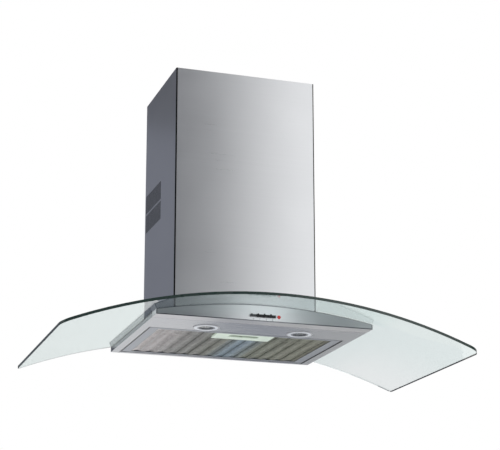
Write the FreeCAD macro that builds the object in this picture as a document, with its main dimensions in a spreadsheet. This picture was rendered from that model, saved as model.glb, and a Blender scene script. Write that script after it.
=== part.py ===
import FreeCAD, Part
import math
import os
import Sketcher

# A chimney range hood for the wall above a cooktop: a slim steel canopy under a wide arched glass, a folded
# chimney cover over the blower, two lamps, four push keys and a grease filter that hinges down.
#
# Sub-parts are drawn from the canopy's underside, with X across the hood, the wall at Y = 0, the front towards
# -Y and Z up. Each is then lowered by the height of the wall fixing, so the origin is at the middle of the four
# wall holes.

SIZES = [
    # Glass
    ("glass_width", 900),
    ("glass_depth", 482),
    ("glass_bow", 8),  # how far the middle of the front edge stands forward of its ends
    ("glass_thickness", 6),
    ("glass_front_corner", 22),
    ("glass_rear_corner", 8),
    ("arch_radius", 1197),  # lower face of the glass
    ("arch_crown", 34.8),  # lower face of the glass above the underside of the canopy, at the middle
    ("glass_screw_radius", 2.5),
    ("glass_screw_head", 5),
    ("glass_screw_row", 78),  # spacing of the screws from front to rear
    ("washer_radius", 6),
    ("washer_thickness", 1.5),
    ("glass_hole_radius", 4),
    ("glass_screw_inset", 13),  # from the chimney cover's side
    ("glass_gap", 1.5),  # between the glass and the blower box
    # Canopy
    ("body_width", 476),
    ("body_depth", 401),
    ("steel", 1.2),  # sheet of the canopy and the blower box
    ("seam", 0.5),
    ("seat", 0.2),  # between curved faces that lie on each other
    ("fascia_return", 33),
    ("gasket_thickness", 1.5),
    ("gasket_width", 12),
    ("recess_width", 438),
    ("recess_front", 278),
    ("recess_rear", 11.5),
    ("duct_opening_inset", 20),  # from each side of the blower box
    ("duct_opening_front", 208),
    ("duct_opening_rear", 30),
    # Wall fixing
    ("fixing_height", 140),
    ("fixing_spacing_x", 220),
    ("fixing_spacing_z", 140),
    ("fixing_hole", 4),
    # Blower box and blower
    ("cover_space", 28),  # from each side of the box to the chimney cover's outer face
    ("box_depth", 232),
    ("box_top", 250),
    ("axis_from_wall", 140),
    ("axis_height", 134),
    ("impeller_radius", 72),
    ("impeller_width", 96),
    ("blade_depth", 11),
    ("blade_thickness", 1.2),
    ("blade_count", 36),
    ("ring_thickness", 2),
    ("hub_radius", 10),
    ("scroll_wall", 2),
    ("scroll_side_gap", 4),
    ("scroll_tongue_gap", 8),
    ("scroll_growth", 8),  # how much the spiral opens in each quarter turn
    ("inlet_radius", 58),
    ("shaft_radius", 4),
    ("shaft_clearance", 0.3),
    ("motor_radius", 42),
    ("motor_length", 62),
    ("motor_gap", 9),  # from the impeller's disc
    ("post_circle", 68),
    ("post_radius", 4),
    ("bush_length", 5),
    ("arm_width", 14),
    ("arm_thickness", 2),
    ("capacitor_radius", 15),
    ("capacitor_length", 52),
    ("capacitor_height", 96),
    ("capacitor_from_wall", 60),
    ("clamp_width", 12),
    ("clamp_thickness", 1),
    ("terminal_width", 34),
    ("terminal_depth", 56),
    ("terminal_height", 44),
    ("terminal_level", 190),
    ("terminal_from_wall", 150),
    ("lid_thickness", 2),
    ("plastic", 2),
    ("gland_radius", 8),
    ("gland_bore", 3.5),
    ("gland_from_side", 23),
    ("gland_from_wall", 190),
    ("gland_height", 14),
    # Outlet collar and flaps
    ("collar_radius", 75),
    ("collar_wall", 2.5),
    ("collar_height", 45),
    ("collar_flange", 82),
    ("collar_base", 2),
    ("ledge_width", 7),
    ("ledge_height", 8),
    ("flap_thickness", 1.5),
    ("flap_gap", 0.6),
    ("axle_radius", 2),
    ("axle_clearance", 0.3),
    ("knuckle_wall", 1.4),
    ("knuckle_length", 18),
    ("collar_screw_radius", 1.5),
    # Chimney covers
    ("chimney_width", 326),
    ("chimney_depth", 260),
    ("chimney_top", 602),
    ("chimney_steel", 1),
    ("chimney_fold", 1.8),
    ("rear_flange", 12),
    ("slide_gap", 0.4),
    ("upper_foot", 72),
    ("upper_inset", 3),  # the upper cover's edge below that of the lower cover, when it is pushed down
    ("vent_width", 4),
    ("vent_pitch", 7),
    ("vent_count", 19),
    ("vent_rear", 8),
    ("vent_low", 284),
    ("vent_height", 43),
    ("vent_row_pitch", 47),
    ("bracket_height", 24),
    ("bracket_level", 560),
    ("bracket_hole", 3.5),
    ("bracket_hole_x", 110),
    ("bracket_joggle", 35),  # from the chimney cover's side
    ("ear_level", 46),
    ("ear_height", 18),
    ("small_screw", 2),
    ("small_head", 3.6),
    ("head_thickness", 1.6),
    # Grease filter
    ("filter_side_gap", 2.5),
    ("filter_front_gap", 5),
    ("filter_rear_gap", 2.5),
    ("filter_recess", 0.6),
    ("filter_thickness", 9),
    ("filter_sheet", 1),
    ("filter_rail", 20),
    ("filter_front_rail", 10),
    ("filter_rear_rail", 8),
    ("rib_pitch", 28),
    ("rib_count", 14),
    ("rib_height", 2.4),
    ("rib_flat", 8.4),
    ("rib_slope", 5.6),
    ("mesh_sheet", 0.8),
    ("mesh_gap", 0.2),
    ("tab_width", 30),
    ("tab_spread", 300),
    ("tab_reach", 7),
    ("tab_thickness", 1.5),
    # Handle and latch
    ("handle_width", 130),
    ("handle_depth", 50),
    ("handle_sheet", 1.2),
    ("slot_length", 68),
    ("slot_width", 18),
    ("latch_width", 40),
    ("latch_thickness", 1.6),
    ("latch_travel", 7),
    ("latch_reach", 3.5),
    ("latch_lip", 1.2),
    ("pocket_depth", 5),
    ("spring_radius", 1.6),
    ("spring_wire", 0.35),
    ("spring_turns", 8),
    ("rivet_radius", 1.5),
    ("rivet_x", 46),
    # Lamps
    ("lamp_spacing", 210),
    ("lamp_from_wall", 311),
    ("bezel_radius", 28),
    ("bezel_lip", 1.6),
    ("lamp_hole", 25),
    ("lamp_hole_gap", 0.5),
    ("bezel_neck", 7),
    ("lens_radius", 15),
    ("lens_gap", 0.3),
    ("lens_thickness", 2),
    ("cup_height", 18),
    ("cup_wall", 1),
    ("bulb_radius", 4.5),
    ("bulb_length", 9),
    ("notch_length", 4),
    ("notch_width", 1.6),
    ("notch_gap", 2),
    ("transformer_width", 92),
    ("transformer_depth", 44),
    ("transformer_height", 20),
    ("transformer_from_wall", 335),
    # Keys
    ("key_width", 12.6),
    ("key_height", 5),
    ("key_pitch", 14),
    ("key_count", 4),
    ("key_first", -29.2),  # middle of the first key
    ("key_level", 11.5),
    ("key_length", 14),
    ("key_proud", 3),
    ("key_gap", 0.3),
    ("key_flange", 1),
    ("light_key_height", 2.8),
    ("nub_width", 3.2),
    ("nub_height", 1.2),
    ("nub_rise", 1.8),  # above the key's top
    ("switch_margin", 3),
    ("switch_depth", 24),
    ("switch_wall", 1.5),
    ("switch_ear", 7),
    ("pilot_x", 27),
    ("pilot_radius", 4),
    ("pilot_gap", 0.2),
    ("pilot_length", 9),
    ("pilot_flange", 1.2),
]

doc = FreeCAD.newDocument("range_hood")
dims = doc.addObject("Spreadsheet::Sheet", "dims")
for row, (alias, number) in enumerate(SIZES, start=1):
    dims.set(f"A{row}", alias)
    dims.set(f"B{row}", str(number))
    dims.setAlias(f"B{row}", alias)
doc.recompute()

nodes = []


# ---------------------------------------------------------------- helpers

def value(expression):
    """The number that an expression of sheet values gives."""
    return float(dims.evalExpression(str(expression)))


def arch(x, below=0):
    """Height of the arch at x and so far below (or, if negative, above) the glass's lower face."""
    return (f"(dims.arch_crown - dims.arch_radius"
            f" + sqrt((dims.arch_radius - ({below}))^2 - ({x})^2))")


def node(kind, name):
    """A sub-part, which lies lower by the height of the wall fixing, so that the fixing is at the origin."""
    made = doc.addObject(kind, name)
    made.Label = name
    made.setExpression(".Placement.Base.z", "-1 * dims.fixing_height")
    nodes.append(made)
    return made


def new_body(name):
    return node("PartDesign::Body", name)


def new_sketch(body, plane, offset="0"):
    """A sketch on the body's own plane, moved along its normal: +Z for XY, -Y for XZ and +X for YZ."""
    sketch = body.newObject("Sketcher::SketchObject", body.Name + "_sketch")
    support = next(f for f in body.Origin.OriginFeatures if f.Role == plane + "_Plane")
    sketch.AttachmentSupport = [(support, "")]
    sketch.MapMode = "FlatFace"
    sketch.setExpression(".AttachmentOffset.Base.z", str(offset))
    return sketch


def bind(sketch, kind, geometry, point, expression):
    """Constrains a coordinate or a radius of the geometry to an expression."""
    number = value(expression)
    if kind == "Radius":
        index = sketch.addConstraint(Sketcher.Constraint(kind, geometry, number))
    else:
        index = sketch.addConstraint(Sketcher.Constraint(kind, -1, 1, geometry, point, number))
    label = f"{kind}{geometry}"
    sketch.renameConstraint(index, label)
    sketch.setExpression("Constraints." + label, str(expression))


def arc_side(p, q, radius):
    """The arc from p to q, its centre to the left for a positive radius and to the right for a negative."""
    chord = q - p
    away = math.sqrt(radius ** 2 - (chord.Length / 2) ** 2)
    left = FreeCAD.Vector(-chord.y, chord.x, 0) / chord.Length
    centre = (p + q) / 2 + left * math.copysign(away, radius)
    first, last = (p, q) if radius > 0 else (q, p)
    circle = Part.Circle(centre, FreeCAD.Vector(0, 0, 1), abs(radius))
    start = math.atan2(first.y - centre.y, first.x - centre.x)
    end = math.atan2(last.y - centre.y, last.x - centre.x)
    return Part.ArcOfCircle(circle, start, end)


def outline(sketch, points, arcs=None):
    """A closed outline through pairs of expressions. arcs gives sides' radii, by the points they start at."""
    arcs = arcs or {}
    corners = [FreeCAD.Vector(value(a), value(b), 0) for a, b in points]
    count = len(corners)
    first = sketch.GeometryCount
    starts = []
    for i, p in enumerate(corners):
        q = corners[(i + 1) % count]
        if i in arcs:
            sketch.addGeometry(arc_side(p, q, value(arcs[i])), False)
            starts.append(1 if value(arcs[i]) > 0 else 2)
        else:
            sketch.addGeometry(Part.LineSegment(p, q), False)
            starts.append(1)
    for i in range(count):
        after = (i + 1) % count
        sketch.addConstraint(
            Sketcher.Constraint("Coincident", first + i, 3 - starts[i], first + after, starts[after]))
    for i, (a, b) in enumerate(points):
        bind(sketch, "DistanceX", first + i, starts[i], a)
        bind(sketch, "DistanceY", first + i, starts[i], b)
        if i in arcs:
            bind(sketch, "Radius", first + i, 0, f"abs({arcs[i]})")


def rectangle(sketch, left, bottom, right, top):
    outline(sketch, [(left, bottom), (right, bottom), (right, top), (left, top)])


def circle(sketch, x, y, radius):
    index = sketch.addGeometry(
        Part.Circle(FreeCAD.Vector(value(x), value(y), 0), FreeCAD.Vector(0, 0, 1), value(radius)), False)
    bind(sketch, "DistanceX", index, 3, x)
    bind(sketch, "DistanceY", index, 3, y)
    bind(sketch, "Radius", index, 0, radius)


def pad(body, sketch, length, midplane=False):
    """Material along the normal of the sketch's plane, or to both sides of it."""
    made = body.newObject("PartDesign::Pad", body.Name + "_pad")
    made.Profile = sketch
    made.Midplane = midplane
    made.setExpression("Length", str(length))
    doc.recompute()
    return made


def cut(body, sketch, length, midplane=False):
    """A pocket along the normal of the sketch's plane, or to both sides of it. It must take material away."""
    before = body.Shape.Volume
    made = body.newObject("PartDesign::Pocket", body.Name + "_cut")
    made.Profile = sketch
    made.Midplane = midplane
    made.Reversed = not midplane
    made.setExpression("Length", str(length))
    doc.recompute()
    if body.Shape.Volume > before - 1e-6:
        raise ValueError(f"{made.Name} cuts nothing")
    return made


def pattern(body, kind, feature, axis, count, length=None):
    """Repeats a feature along or round one of the body's own axes."""
    made = body.newObject("PartDesign::" + kind, body.Name + "_pattern")
    made.Originals = [feature]
    support = next(f for f in body.Origin.OriginFeatures if f.Role == axis + "_Axis")
    if kind == "LinearPattern":
        made.Direction = (support, [""])
        made.setExpression("Length", str(length))
    else:
        made.Axis = (support, [""])
        made.Angle = 360
    made.setExpression("Occurrences", str(count))
    body.Tip = made
    doc.recompute()
    return made


def edges_where(feature, test):
    """Names of the feature's edges for whose box the test is true."""
    return [f"Edge{i}" for i, e in enumerate(feature.Shape.Edges, start=1) if test(e)]


def fillet(body, feature, edges, radius):
    made = body.newObject("PartDesign::Fillet", body.Name + "_fillet")
    made.Base = (feature, edges)
    made.setExpression("Radius", str(radius))
    doc.recompute()
    return made


def arched_block(body, half_width, bottom, below_top, depth, offset="0"):
    """A block from front to rear with a level bottom and a top that follows the arch."""
    sketch = new_sketch(body, "XZ", offset)
    top = arch(half_width, below_top)
    outline(
        sketch,
        [
            (f"-1 * ({half_width})", bottom), (half_width, bottom),
            (half_width, top), (f"-1 * ({half_width})", top),
        ],
        {2: f"dims.arch_radius - ({below_top})"},
    )
    return pad(body, sketch, depth)


def arched_sheet(body, half_width, above, below, depth, offset="0"):
    """A sheet that follows the arch, between two distances below the glass's lower face."""
    sketch = new_sketch(body, "XZ", offset)
    outline(
        sketch,
        [
            (f"-1 * ({half_width})", arch(half_width, below)),
            (half_width, arch(half_width, below)),
            (half_width, arch(half_width, above)),
            (f"-1 * ({half_width})", arch(half_width, above)),
        ],
        {0: f"-1 * (dims.arch_radius - ({below}))", 2: f"dims.arch_radius - ({above})"},
    )
    return pad(body, sketch, depth)


def cylinder(name, axis, radius, length, x, y, z):
    """A plain cylinder along an axis of the hood, from (x, y, z) towards that axis's positive side."""
    made = doc.addObject("Part::Cylinder", name)
    made.setExpression("Radius", str(radius))
    made.setExpression("Height", str(length))
    turns = {
        "X": FreeCAD.Rotation(FreeCAD.Vector(0, 1, 0), 90),
        "Y": FreeCAD.Rotation(FreeCAD.Vector(1, 0, 0), -90),
        "Z": FreeCAD.Rotation(),
    }
    made.Placement = FreeCAD.Placement(FreeCAD.Vector(), turns[axis])
    for letter, place in zip("xyz", (x, y, z)):
        made.setExpression(f".Placement.Base.{letter}", str(place))
    return made


def box(name, size, corner):
    made = doc.addObject("Part::Box", name)
    for side, length in zip(("Length", "Width", "Height"), size):
        made.setExpression(side, str(length))
    for letter, place in zip("xyz", corner):
        made.setExpression(f".Placement.Base.{letter}", str(place))
    return made


def boolean(kind, name, base, tool):
    made = doc.addObject("Part::" + kind, name)
    made.Base = base
    made.Tool = tool
    return made


def group(name, pieces):
    """One node of several separate solids."""
    made = node("Part::Compound", name)
    made.Links = pieces
    return made


HALF_BODY = "dims.body_width / 2"
HALF_BOX = "(dims.chimney_width / 2 - dims.cover_space)"
PLATE_TOP = "dims.seat * 2 + dims.gasket_thickness"  # below the glass
PLATE_FOOT = f"{PLATE_TOP} + dims.steel"


# ---------------------------------------------------------------- glass

def glass_canopy():
    """Bent glass, notched at the rear for the blower box and drilled for its screws."""
    body = new_body("glass_canopy")
    half = "dims.glass_width / 2"
    depth = "dims.glass_depth + dims.glass_bow"
    arched_sheet(body, half, "-1 * dims.glass_thickness", "0", depth)
    reach = "dims.glass_width"
    corner = "dims.glass_front_corner"
    rear = "dims.glass_rear_corner"
    front = "-1 * dims.glass_depth"
    inner = f"{half} - {corner}"
    bow_radius = f"(({inner})^2 + dims.glass_bow^2) / (2 * dims.glass_bow)"
    plan = new_sketch(body, "XY", "dims.arch_crown - dims.arch_radius / 2")
    rectangle(plan, f"-1 * {reach}", f"-1 * {reach}", reach, reach)
    outline(
        plan,
        [
            (f"-1 * ({half} - {rear})", "0"),
            (f"-1 * ({half})", f"-1 * {rear}"),
            (f"-1 * ({half})", f"{front} + {corner}"),
            (f"-1 * ({inner})", front),
            (inner, front),
            (half, f"{front} + {corner}"),
            (half, f"-1 * {rear}"),
            (f"{half} - {rear}", "0"),
        ],
        {0: rear, 2: corner, 3: bow_radius, 4: corner, 6: rear},
    )
    cut(body, plan, "dims.arch_radius")
    notch = new_sketch(body, "XY", "0")
    side = f"{HALF_BOX} + dims.glass_gap"
    rectangle(notch, f"-1 * ({side})", "-1 * (dims.box_depth + dims.glass_gap)", side, "dims.glass_gap")
    cut(body, notch, "dims.arch_crown * 2")
    holes = new_sketch(body, "XY", "0")
    for x, y in glass_screw_places():
        circle(holes, x, y, "dims.glass_hole_radius")
    cut(body, holes, "dims.arch_crown * 2")


def glass_screw_places():
    """Three screws down each side of the blower box, inside the chimney cover."""
    x = "dims.chimney_width / 2 - dims.glass_screw_inset"
    middle = "dims.box_depth / 2"
    rows = [f"-1 * ({middle} + ({i}) * dims.glass_screw_row)" for i in (-1, 0, 1)]
    return [(f"{sign} * ({x})", y) for sign in (-1, 1) for y in rows]


def glass_screws_and_washers():
    """Screws through a soft washer and the glass into the plate under it."""
    screws = []
    washers = []
    for number, (x, y) in enumerate(glass_screw_places()):
        glass_top = arch(f"abs({x}) - dims.washer_radius", "-1 * dims.glass_thickness")
        washer = cylinder(
            f"washer_{number}", "Z", "dims.washer_radius", "dims.washer_thickness",
            x, y, f"{glass_top} + dims.seat")
        bore = cylinder(
            f"washer_bore_{number}", "Z", "dims.glass_screw_radius", "dims.washer_thickness", x, y,
            f"{glass_top} + dims.seat")
        washers.append(boolean("Cut", f"washer_ring_{number}", washer, bore))
        head = f"{glass_top} + dims.seat + dims.washer_thickness"
        foot = f"{arch(x, PLATE_FOOT)} - dims.steel"
        radius = "dims.glass_screw_radius"
        shank = cylinder(f"glass_shank_{number}", "Z", radius, f"{head} - ({foot})", x, y, foot)
        top = cylinder(f"glass_head_{number}", "Z", "dims.glass_screw_head", radius, x, y, head)
        screws.append(boolean("Fuse", f"glass_screw_{number}", top, shank))
    group("glass_screws", screws)
    group("glass_washers", washers)


def glass_gasket():
    """A soft strip between the canopy's top plate and the glass."""
    body = new_body("glass_gasket")
    half = f"{HALF_BODY} - dims.steel - dims.seam"
    front = "dims.body_depth - dims.steel - dims.seam"
    below = "dims.seat + dims.gasket_thickness"
    rear = "(dims.steel + dims.seam)"
    arched_sheet(body, half, "dims.seat", below, f"{front} - {rear}", rear)
    window = new_sketch(body, "XY", "0")
    inner = f"{half} - dims.gasket_width"
    rectangle(
        window, f"-1 * ({inner})", f"-1 * ({front} - dims.gasket_width)",
        inner, f"-1 * ({rear} + dims.gasket_width)")
    cut(body, window, "dims.arch_crown * 2")
    notch = new_sketch(body, "XY", "0")
    side = f"{HALF_BOX} + dims.glass_gap"
    rectangle(notch, f"-1 * ({side})", "-1 * dims.box_depth", side, "0")
    cut(body, notch, "dims.arch_crown * 2")


# ---------------------------------------------------------------- canopy

def canopy_tray():
    """The folded steel underside with its side and rear walls, open for the filter and the two lamps."""
    body = new_body("canopy_tray")
    front = "dims.body_depth - dims.fascia_return"
    arched_block(body, HALF_BODY, "0", "dims.seat", f"{front} - dims.seam")
    inside = new_sketch(body, "XY", "dims.steel")
    side = f"{HALF_BODY} - dims.steel"
    rectangle(inside, f"-1 * ({side})", f"-1 * ({front} + dims.steel)", side, "-1 * dims.steel")
    cut(body, inside, "dims.arch_crown")
    notch = new_sketch(body, "XZ", "-1 * dims.steel")
    foot = arch(HALF_BOX, PLATE_TOP)
    outline(
        notch,
        [
            (f"-1 * {HALF_BOX}", foot), (HALF_BOX, foot),
            (HALF_BOX, "dims.box_top"), (f"-1 * {HALF_BOX}", "dims.box_top"),
        ],
        {0: f"-1 * (dims.arch_radius - ({PLATE_TOP}))"},
    )
    cut(body, notch, "dims.steel * 3")
    recess = new_sketch(body, "XY", "-1 * dims.steel")
    half = "dims.recess_width / 2"
    rectangle(recess, f"-1 * {half}", "-1 * dims.recess_front", half, "-1 * dims.recess_rear")
    cut(body, recess, "dims.steel * 3")
    lamps = new_sketch(body, "XY", "-1 * dims.steel")
    for sign in (-1, 1):
        middle = f"{sign} * dims.lamp_spacing / 2"
        circle(lamps, middle, "-1 * dims.lamp_from_wall", "dims.lamp_hole")
        notch = f"{middle} + dims.bezel_radius + dims.notch_gap"
        rectangle(
            lamps, notch, "-1 * (dims.lamp_from_wall + dims.notch_width / 2)",
            f"{notch} + dims.notch_length", "-1 * (dims.lamp_from_wall - dims.notch_width / 2)")
    cut(body, lamps, "dims.steel * 3")


def top_plate():
    """The arched plate that carries the glass and the blower box, open where the air goes up."""
    body = new_body("top_plate")
    half = f"{HALF_BODY} - dims.steel - dims.seam / 2"
    depth = "dims.body_depth - dims.steel * 2 - dims.seam"
    arched_sheet(body, half, PLATE_TOP, PLATE_FOOT, depth, "dims.steel + dims.seam / 2")
    opening = new_sketch(body, "XY", "0")
    duct = f"({HALF_BOX} - dims.duct_opening_inset)"
    rectangle(opening, f"-1 * {duct}", "-1 * dims.duct_opening_front", duct, "-1 * dims.duct_opening_rear")
    cut(body, opening, "dims.arch_crown * 2")
    holes = new_sketch(body, "XY", "0")
    for x, y in glass_screw_places():
        circle(holes, x, y, "dims.glass_screw_radius")
    cut(body, holes, "dims.arch_crown * 2")


def key_middle(number):
    return f"(dims.key_first + {number} * dims.key_pitch)"


def key_half_height(number):
    """Half the height of a key. The first, for the lamps, is lower than those for the blower's speeds."""
    return "dims.light_key_height / 2" if number == 0 else "dims.key_height / 2"


def key_row():
    """Left, right, bottom and top of the window for the row of keys."""
    left = f"{key_middle(0)} - dims.key_width / 2 - dims.key_gap - dims.switch_margin / 2"
    right = f"{key_middle('(dims.key_count - 1)')} + dims.key_width / 2 + dims.key_gap + dims.switch_margin / 2"
    half = "dims.key_height / 2 + dims.key_gap + dims.switch_margin / 4"
    return left, right, f"dims.key_level - ({half})", f"dims.key_level + {half}"


def front_fascia():
    """The front strip, its ends and the flange turned back under it, with the window for the keys."""
    body = new_body("front_fascia")
    front = "dims.body_depth - dims.fascia_return"
    arched_block(body, HALF_BODY, "0", "dims.seat", "dims.fascia_return", front)
    inside = new_sketch(body, "XY", "dims.steel")
    side = f"{HALF_BODY} - dims.steel"
    rectangle(
        inside, f"-1 * ({side})", "-1 * (dims.body_depth - dims.steel)", side, f"-1 * ({front} - dims.steel)")
    cut(body, inside, "dims.arch_crown")
    window = new_sketch(body, "XZ", "dims.body_depth - dims.steel * 2")
    left, right, bottom, top = key_row()
    rectangle(window, left, bottom, right, top)
    circle(window, "dims.pilot_x", "dims.key_level", "dims.pilot_radius")
    cut(body, window, "dims.steel * 3")


# ---------------------------------------------------------------- switches

KEY_REAR = "(dims.body_depth + dims.key_proud - dims.key_length)"  # distance of a key's rear from the wall


def switch_block():
    """The block behind the fascia that the keys slide in. Its nose fills the window round them."""
    body = new_body("switch_block")
    left, right, bottom, top = key_row()
    margin = "dims.switch_margin"
    back = "dims.body_depth - dims.steel - dims.switch_depth"
    sketch = new_sketch(body, "XZ", back)
    rectangle(
        sketch, f"{left} - {margin} - dims.switch_ear", f"{bottom} - {margin} / 2",
        right, f"{top} + {margin}")
    pad(body, sketch, "dims.switch_depth")
    nose = new_sketch(body, "XZ", "dims.body_depth - dims.steel")
    gap = "dims.key_gap / 2"
    rectangle(nose, f"{left} + {gap}", f"{bottom} + {gap}", f"{right} - {gap}", f"{top} - {gap}")
    pad(body, nose, "dims.steel - dims.key_gap")
    guides = new_sketch(body, "XZ", f"{KEY_REAR} - dims.key_flange")
    rears = new_sketch(body, "XZ", f"{back} + dims.switch_wall")
    for number in range(round(value("dims.key_count"))):
        half_width = "(dims.key_width / 2 + dims.key_gap)"
        half_height = f"({key_half_height(number)} + dims.key_gap)"
        middle = key_middle(number)
        rectangle(
            guides, f"{middle} - {half_width}", f"dims.key_level - {half_height}",
            f"{middle} + {half_width}", f"dims.key_level + {half_height}")
        rectangle(
            rears, f"{middle} - {half_width}", f"dims.key_level - {half_height} - dims.key_flange",
            f"{middle} + {half_width}", f"dims.key_level + {half_height} + dims.key_flange")
    cut(body, guides, "dims.key_length + dims.steel")
    cut(body, rears, f"{KEY_REAR} + dims.key_flange - ({back} + dims.switch_wall)")


def key(number, name):
    """A push key with a nub at its left end that stands up past it, and a stop flange at its rear."""
    body = new_body(name)
    middle = key_middle(number)
    half = "dims.key_width / 2"
    low = f"dims.key_level - {key_half_height(number)}"
    high = f"dims.key_level + {key_half_height(number)}"
    shank = new_sketch(body, "XZ", KEY_REAR)
    rectangle(shank, f"{middle} - {half}", low, f"{middle} + {half}", high)
    pad(body, shank, "dims.key_length")
    nub = new_sketch(body, "XZ", "dims.body_depth + dims.key_proud")
    left = f"{middle} - {half}"
    rectangle(nub, left, low, f"{left} + dims.nub_width", f"{high} + dims.nub_rise")
    pad(body, nub, "dims.nub_height")
    flange = new_sketch(body, "XZ", KEY_REAR)
    reach = f"({key_half_height(number)} + dims.key_flange)"
    rectangle(
        flange, f"{middle} - {half}", f"dims.key_level - {reach}",
        f"{middle} + {half}", f"dims.key_level + {reach}")
    pad(body, flange, "dims.key_flange - dims.key_gap / 2")


def pilot_lens():
    """The round red lens beside the keys, with a flange behind the fascia and a domed face."""
    body = new_body("pilot_lens")
    rear = "dims.body_depth - dims.steel - dims.pilot_length"
    sketch = new_sketch(body, "XZ", rear)
    circle(sketch, "dims.pilot_x", "dims.key_level", "dims.pilot_radius - dims.pilot_gap")
    stem = pad(body, sketch, "dims.pilot_length + dims.steel * 2")
    front = edges_where(stem, lambda e: e.BoundBox.YMax < -value("dims.body_depth + dims.steel * 0.9"))
    fillet(body, stem, front, "dims.steel")
    flange = new_sketch(body, "XZ", "dims.body_depth - dims.steel - dims.pilot_flange")
    circle(flange, "dims.pilot_x", "dims.key_level", "dims.pilot_radius + dims.pilot_flange")
    pad(body, flange, "dims.pilot_flange")


def switch_screws():
    """Two screws hold the switch block's ear to the fascia from behind."""
    left, right, bottom, top = key_row()
    x = f"{left} - dims.switch_margin - dims.switch_ear / 2"
    y = "-1 * (dims.body_depth - dims.steel - dims.switch_depth)"
    spread = f"({top} - ({bottom})) / 2"
    made = []
    for number, sign in enumerate((-1, 1)):
        z = f"dims.key_level + {sign} * {spread}"
        made.append(cylinder(
            f"switch_screw_{number}", "Y", "dims.small_screw / 2", "dims.head_thickness", x, y, z))
    group("switch_screws", made)


# ---------------------------------------------------------------- lamps

def lamp(side, sign):
    """A lamp: a ring through the canopy's underside, the lens, the bulb and the cup that covers them."""
    x = f"{sign} * dims.lamp_spacing / 2"
    y = "-1 * dims.lamp_from_wall"
    bezel = new_body(f"lamp_bezel_{side}")
    ring = new_sketch(bezel, "XY", "-1 * dims.bezel_lip")
    circle(ring, x, y, "dims.bezel_radius")
    lip = pad(bezel, ring, "dims.bezel_lip")
    low = edges_where(lip, lambda e: e.BoundBox.ZMax < -value("dims.bezel_lip * 0.9"))
    fillet(bezel, lip, low, "dims.bezel_lip * 0.7")
    neck = new_sketch(bezel, "XY", "0")
    circle(neck, x, y, "dims.lamp_hole - dims.lamp_hole_gap")
    pad(bezel, neck, "dims.bezel_neck")
    seat = new_sketch(bezel, "XY", "0")
    circle(seat, x, y, "dims.lens_radius + dims.lens_gap * 4")
    cut(bezel, seat, "dims.bezel_neck")
    mouth = new_sketch(bezel, "XY", "-1 * dims.bezel_lip")
    circle(mouth, x, y, "dims.lens_radius")
    cut(bezel, mouth, "dims.bezel_neck")

    lens = new_body(f"lamp_lens_{side}")
    disc = new_sketch(lens, "XY", "dims.seat / 2")
    circle(disc, x, y, "dims.lens_radius + dims.lens_gap * 3")
    pad(lens, disc, "dims.lens_thickness")

    cup = new_body(f"lamp_cup_{side}")
    outer = new_sketch(cup, "XY", "dims.steel")
    circle(outer, x, y, "dims.bezel_radius")
    pad(cup, outer, "dims.cup_height")
    inner = new_sketch(cup, "XY", "dims.steel")
    circle(inner, x, y, "dims.bezel_radius - dims.cup_wall")
    cut(cup, inner, "dims.cup_height - dims.cup_wall")

    bulb = new_body(f"lamp_bulb_{side}")
    top = "dims.steel + dims.cup_height - dims.cup_wall"
    base = new_sketch(bulb, "XY", f"{top} - dims.bulb_radius / 2")
    rectangle(
        base, f"{x} - dims.bulb_radius * 1.2", f"{y} - dims.bulb_radius",
        f"{x} + dims.bulb_radius * 1.2", f"{y} + dims.bulb_radius")
    pad(bulb, base, "dims.bulb_radius / 2")
    glass = new_sketch(bulb, "XY", f"{top} - dims.bulb_radius / 2 - dims.bulb_length")
    circle(glass, x, y, "dims.bulb_radius * 0.8")
    capsule = pad(bulb, glass, "dims.bulb_length + dims.bulb_radius / 4")
    tip = edges_where(capsule, lambda e: e.BoundBox.ZMax < value(f"{top} - dims.bulb_length"))
    fillet(bulb, capsule, tip, "dims.bulb_radius * 0.6")


def lamp_transformer():
    """The lamps' transformer on the canopy's underside sheet, with a fixing lug at each end."""
    body = new_body("lamp_transformer")
    half = "dims.transformer_width / 2"
    front = "-1 * (dims.transformer_from_wall + dims.transformer_depth / 2)"
    rear = "-1 * (dims.transformer_from_wall - dims.transformer_depth / 2)"
    lugs = new_sketch(body, "XY", "dims.steel")
    rectangle(lugs, f"-1 * ({half} + dims.switch_ear)", front, f"{half} + dims.switch_ear", rear)
    pad(body, lugs, "dims.plastic")
    case = new_sketch(body, "XY", "dims.steel")
    rectangle(case, f"-1 * {half}", front, half, rear)
    pad(body, case, "dims.transformer_height")


# ---------------------------------------------------------------- blower box

OUTLET_Y = "(dims.axis_from_wall - (2 * dims.scroll_growth + dims.impeller_radius + dims.scroll_tongue_gap) / 2)"
GLAND_X = f"({HALF_BOX} - dims.gland_from_side)"


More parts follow.
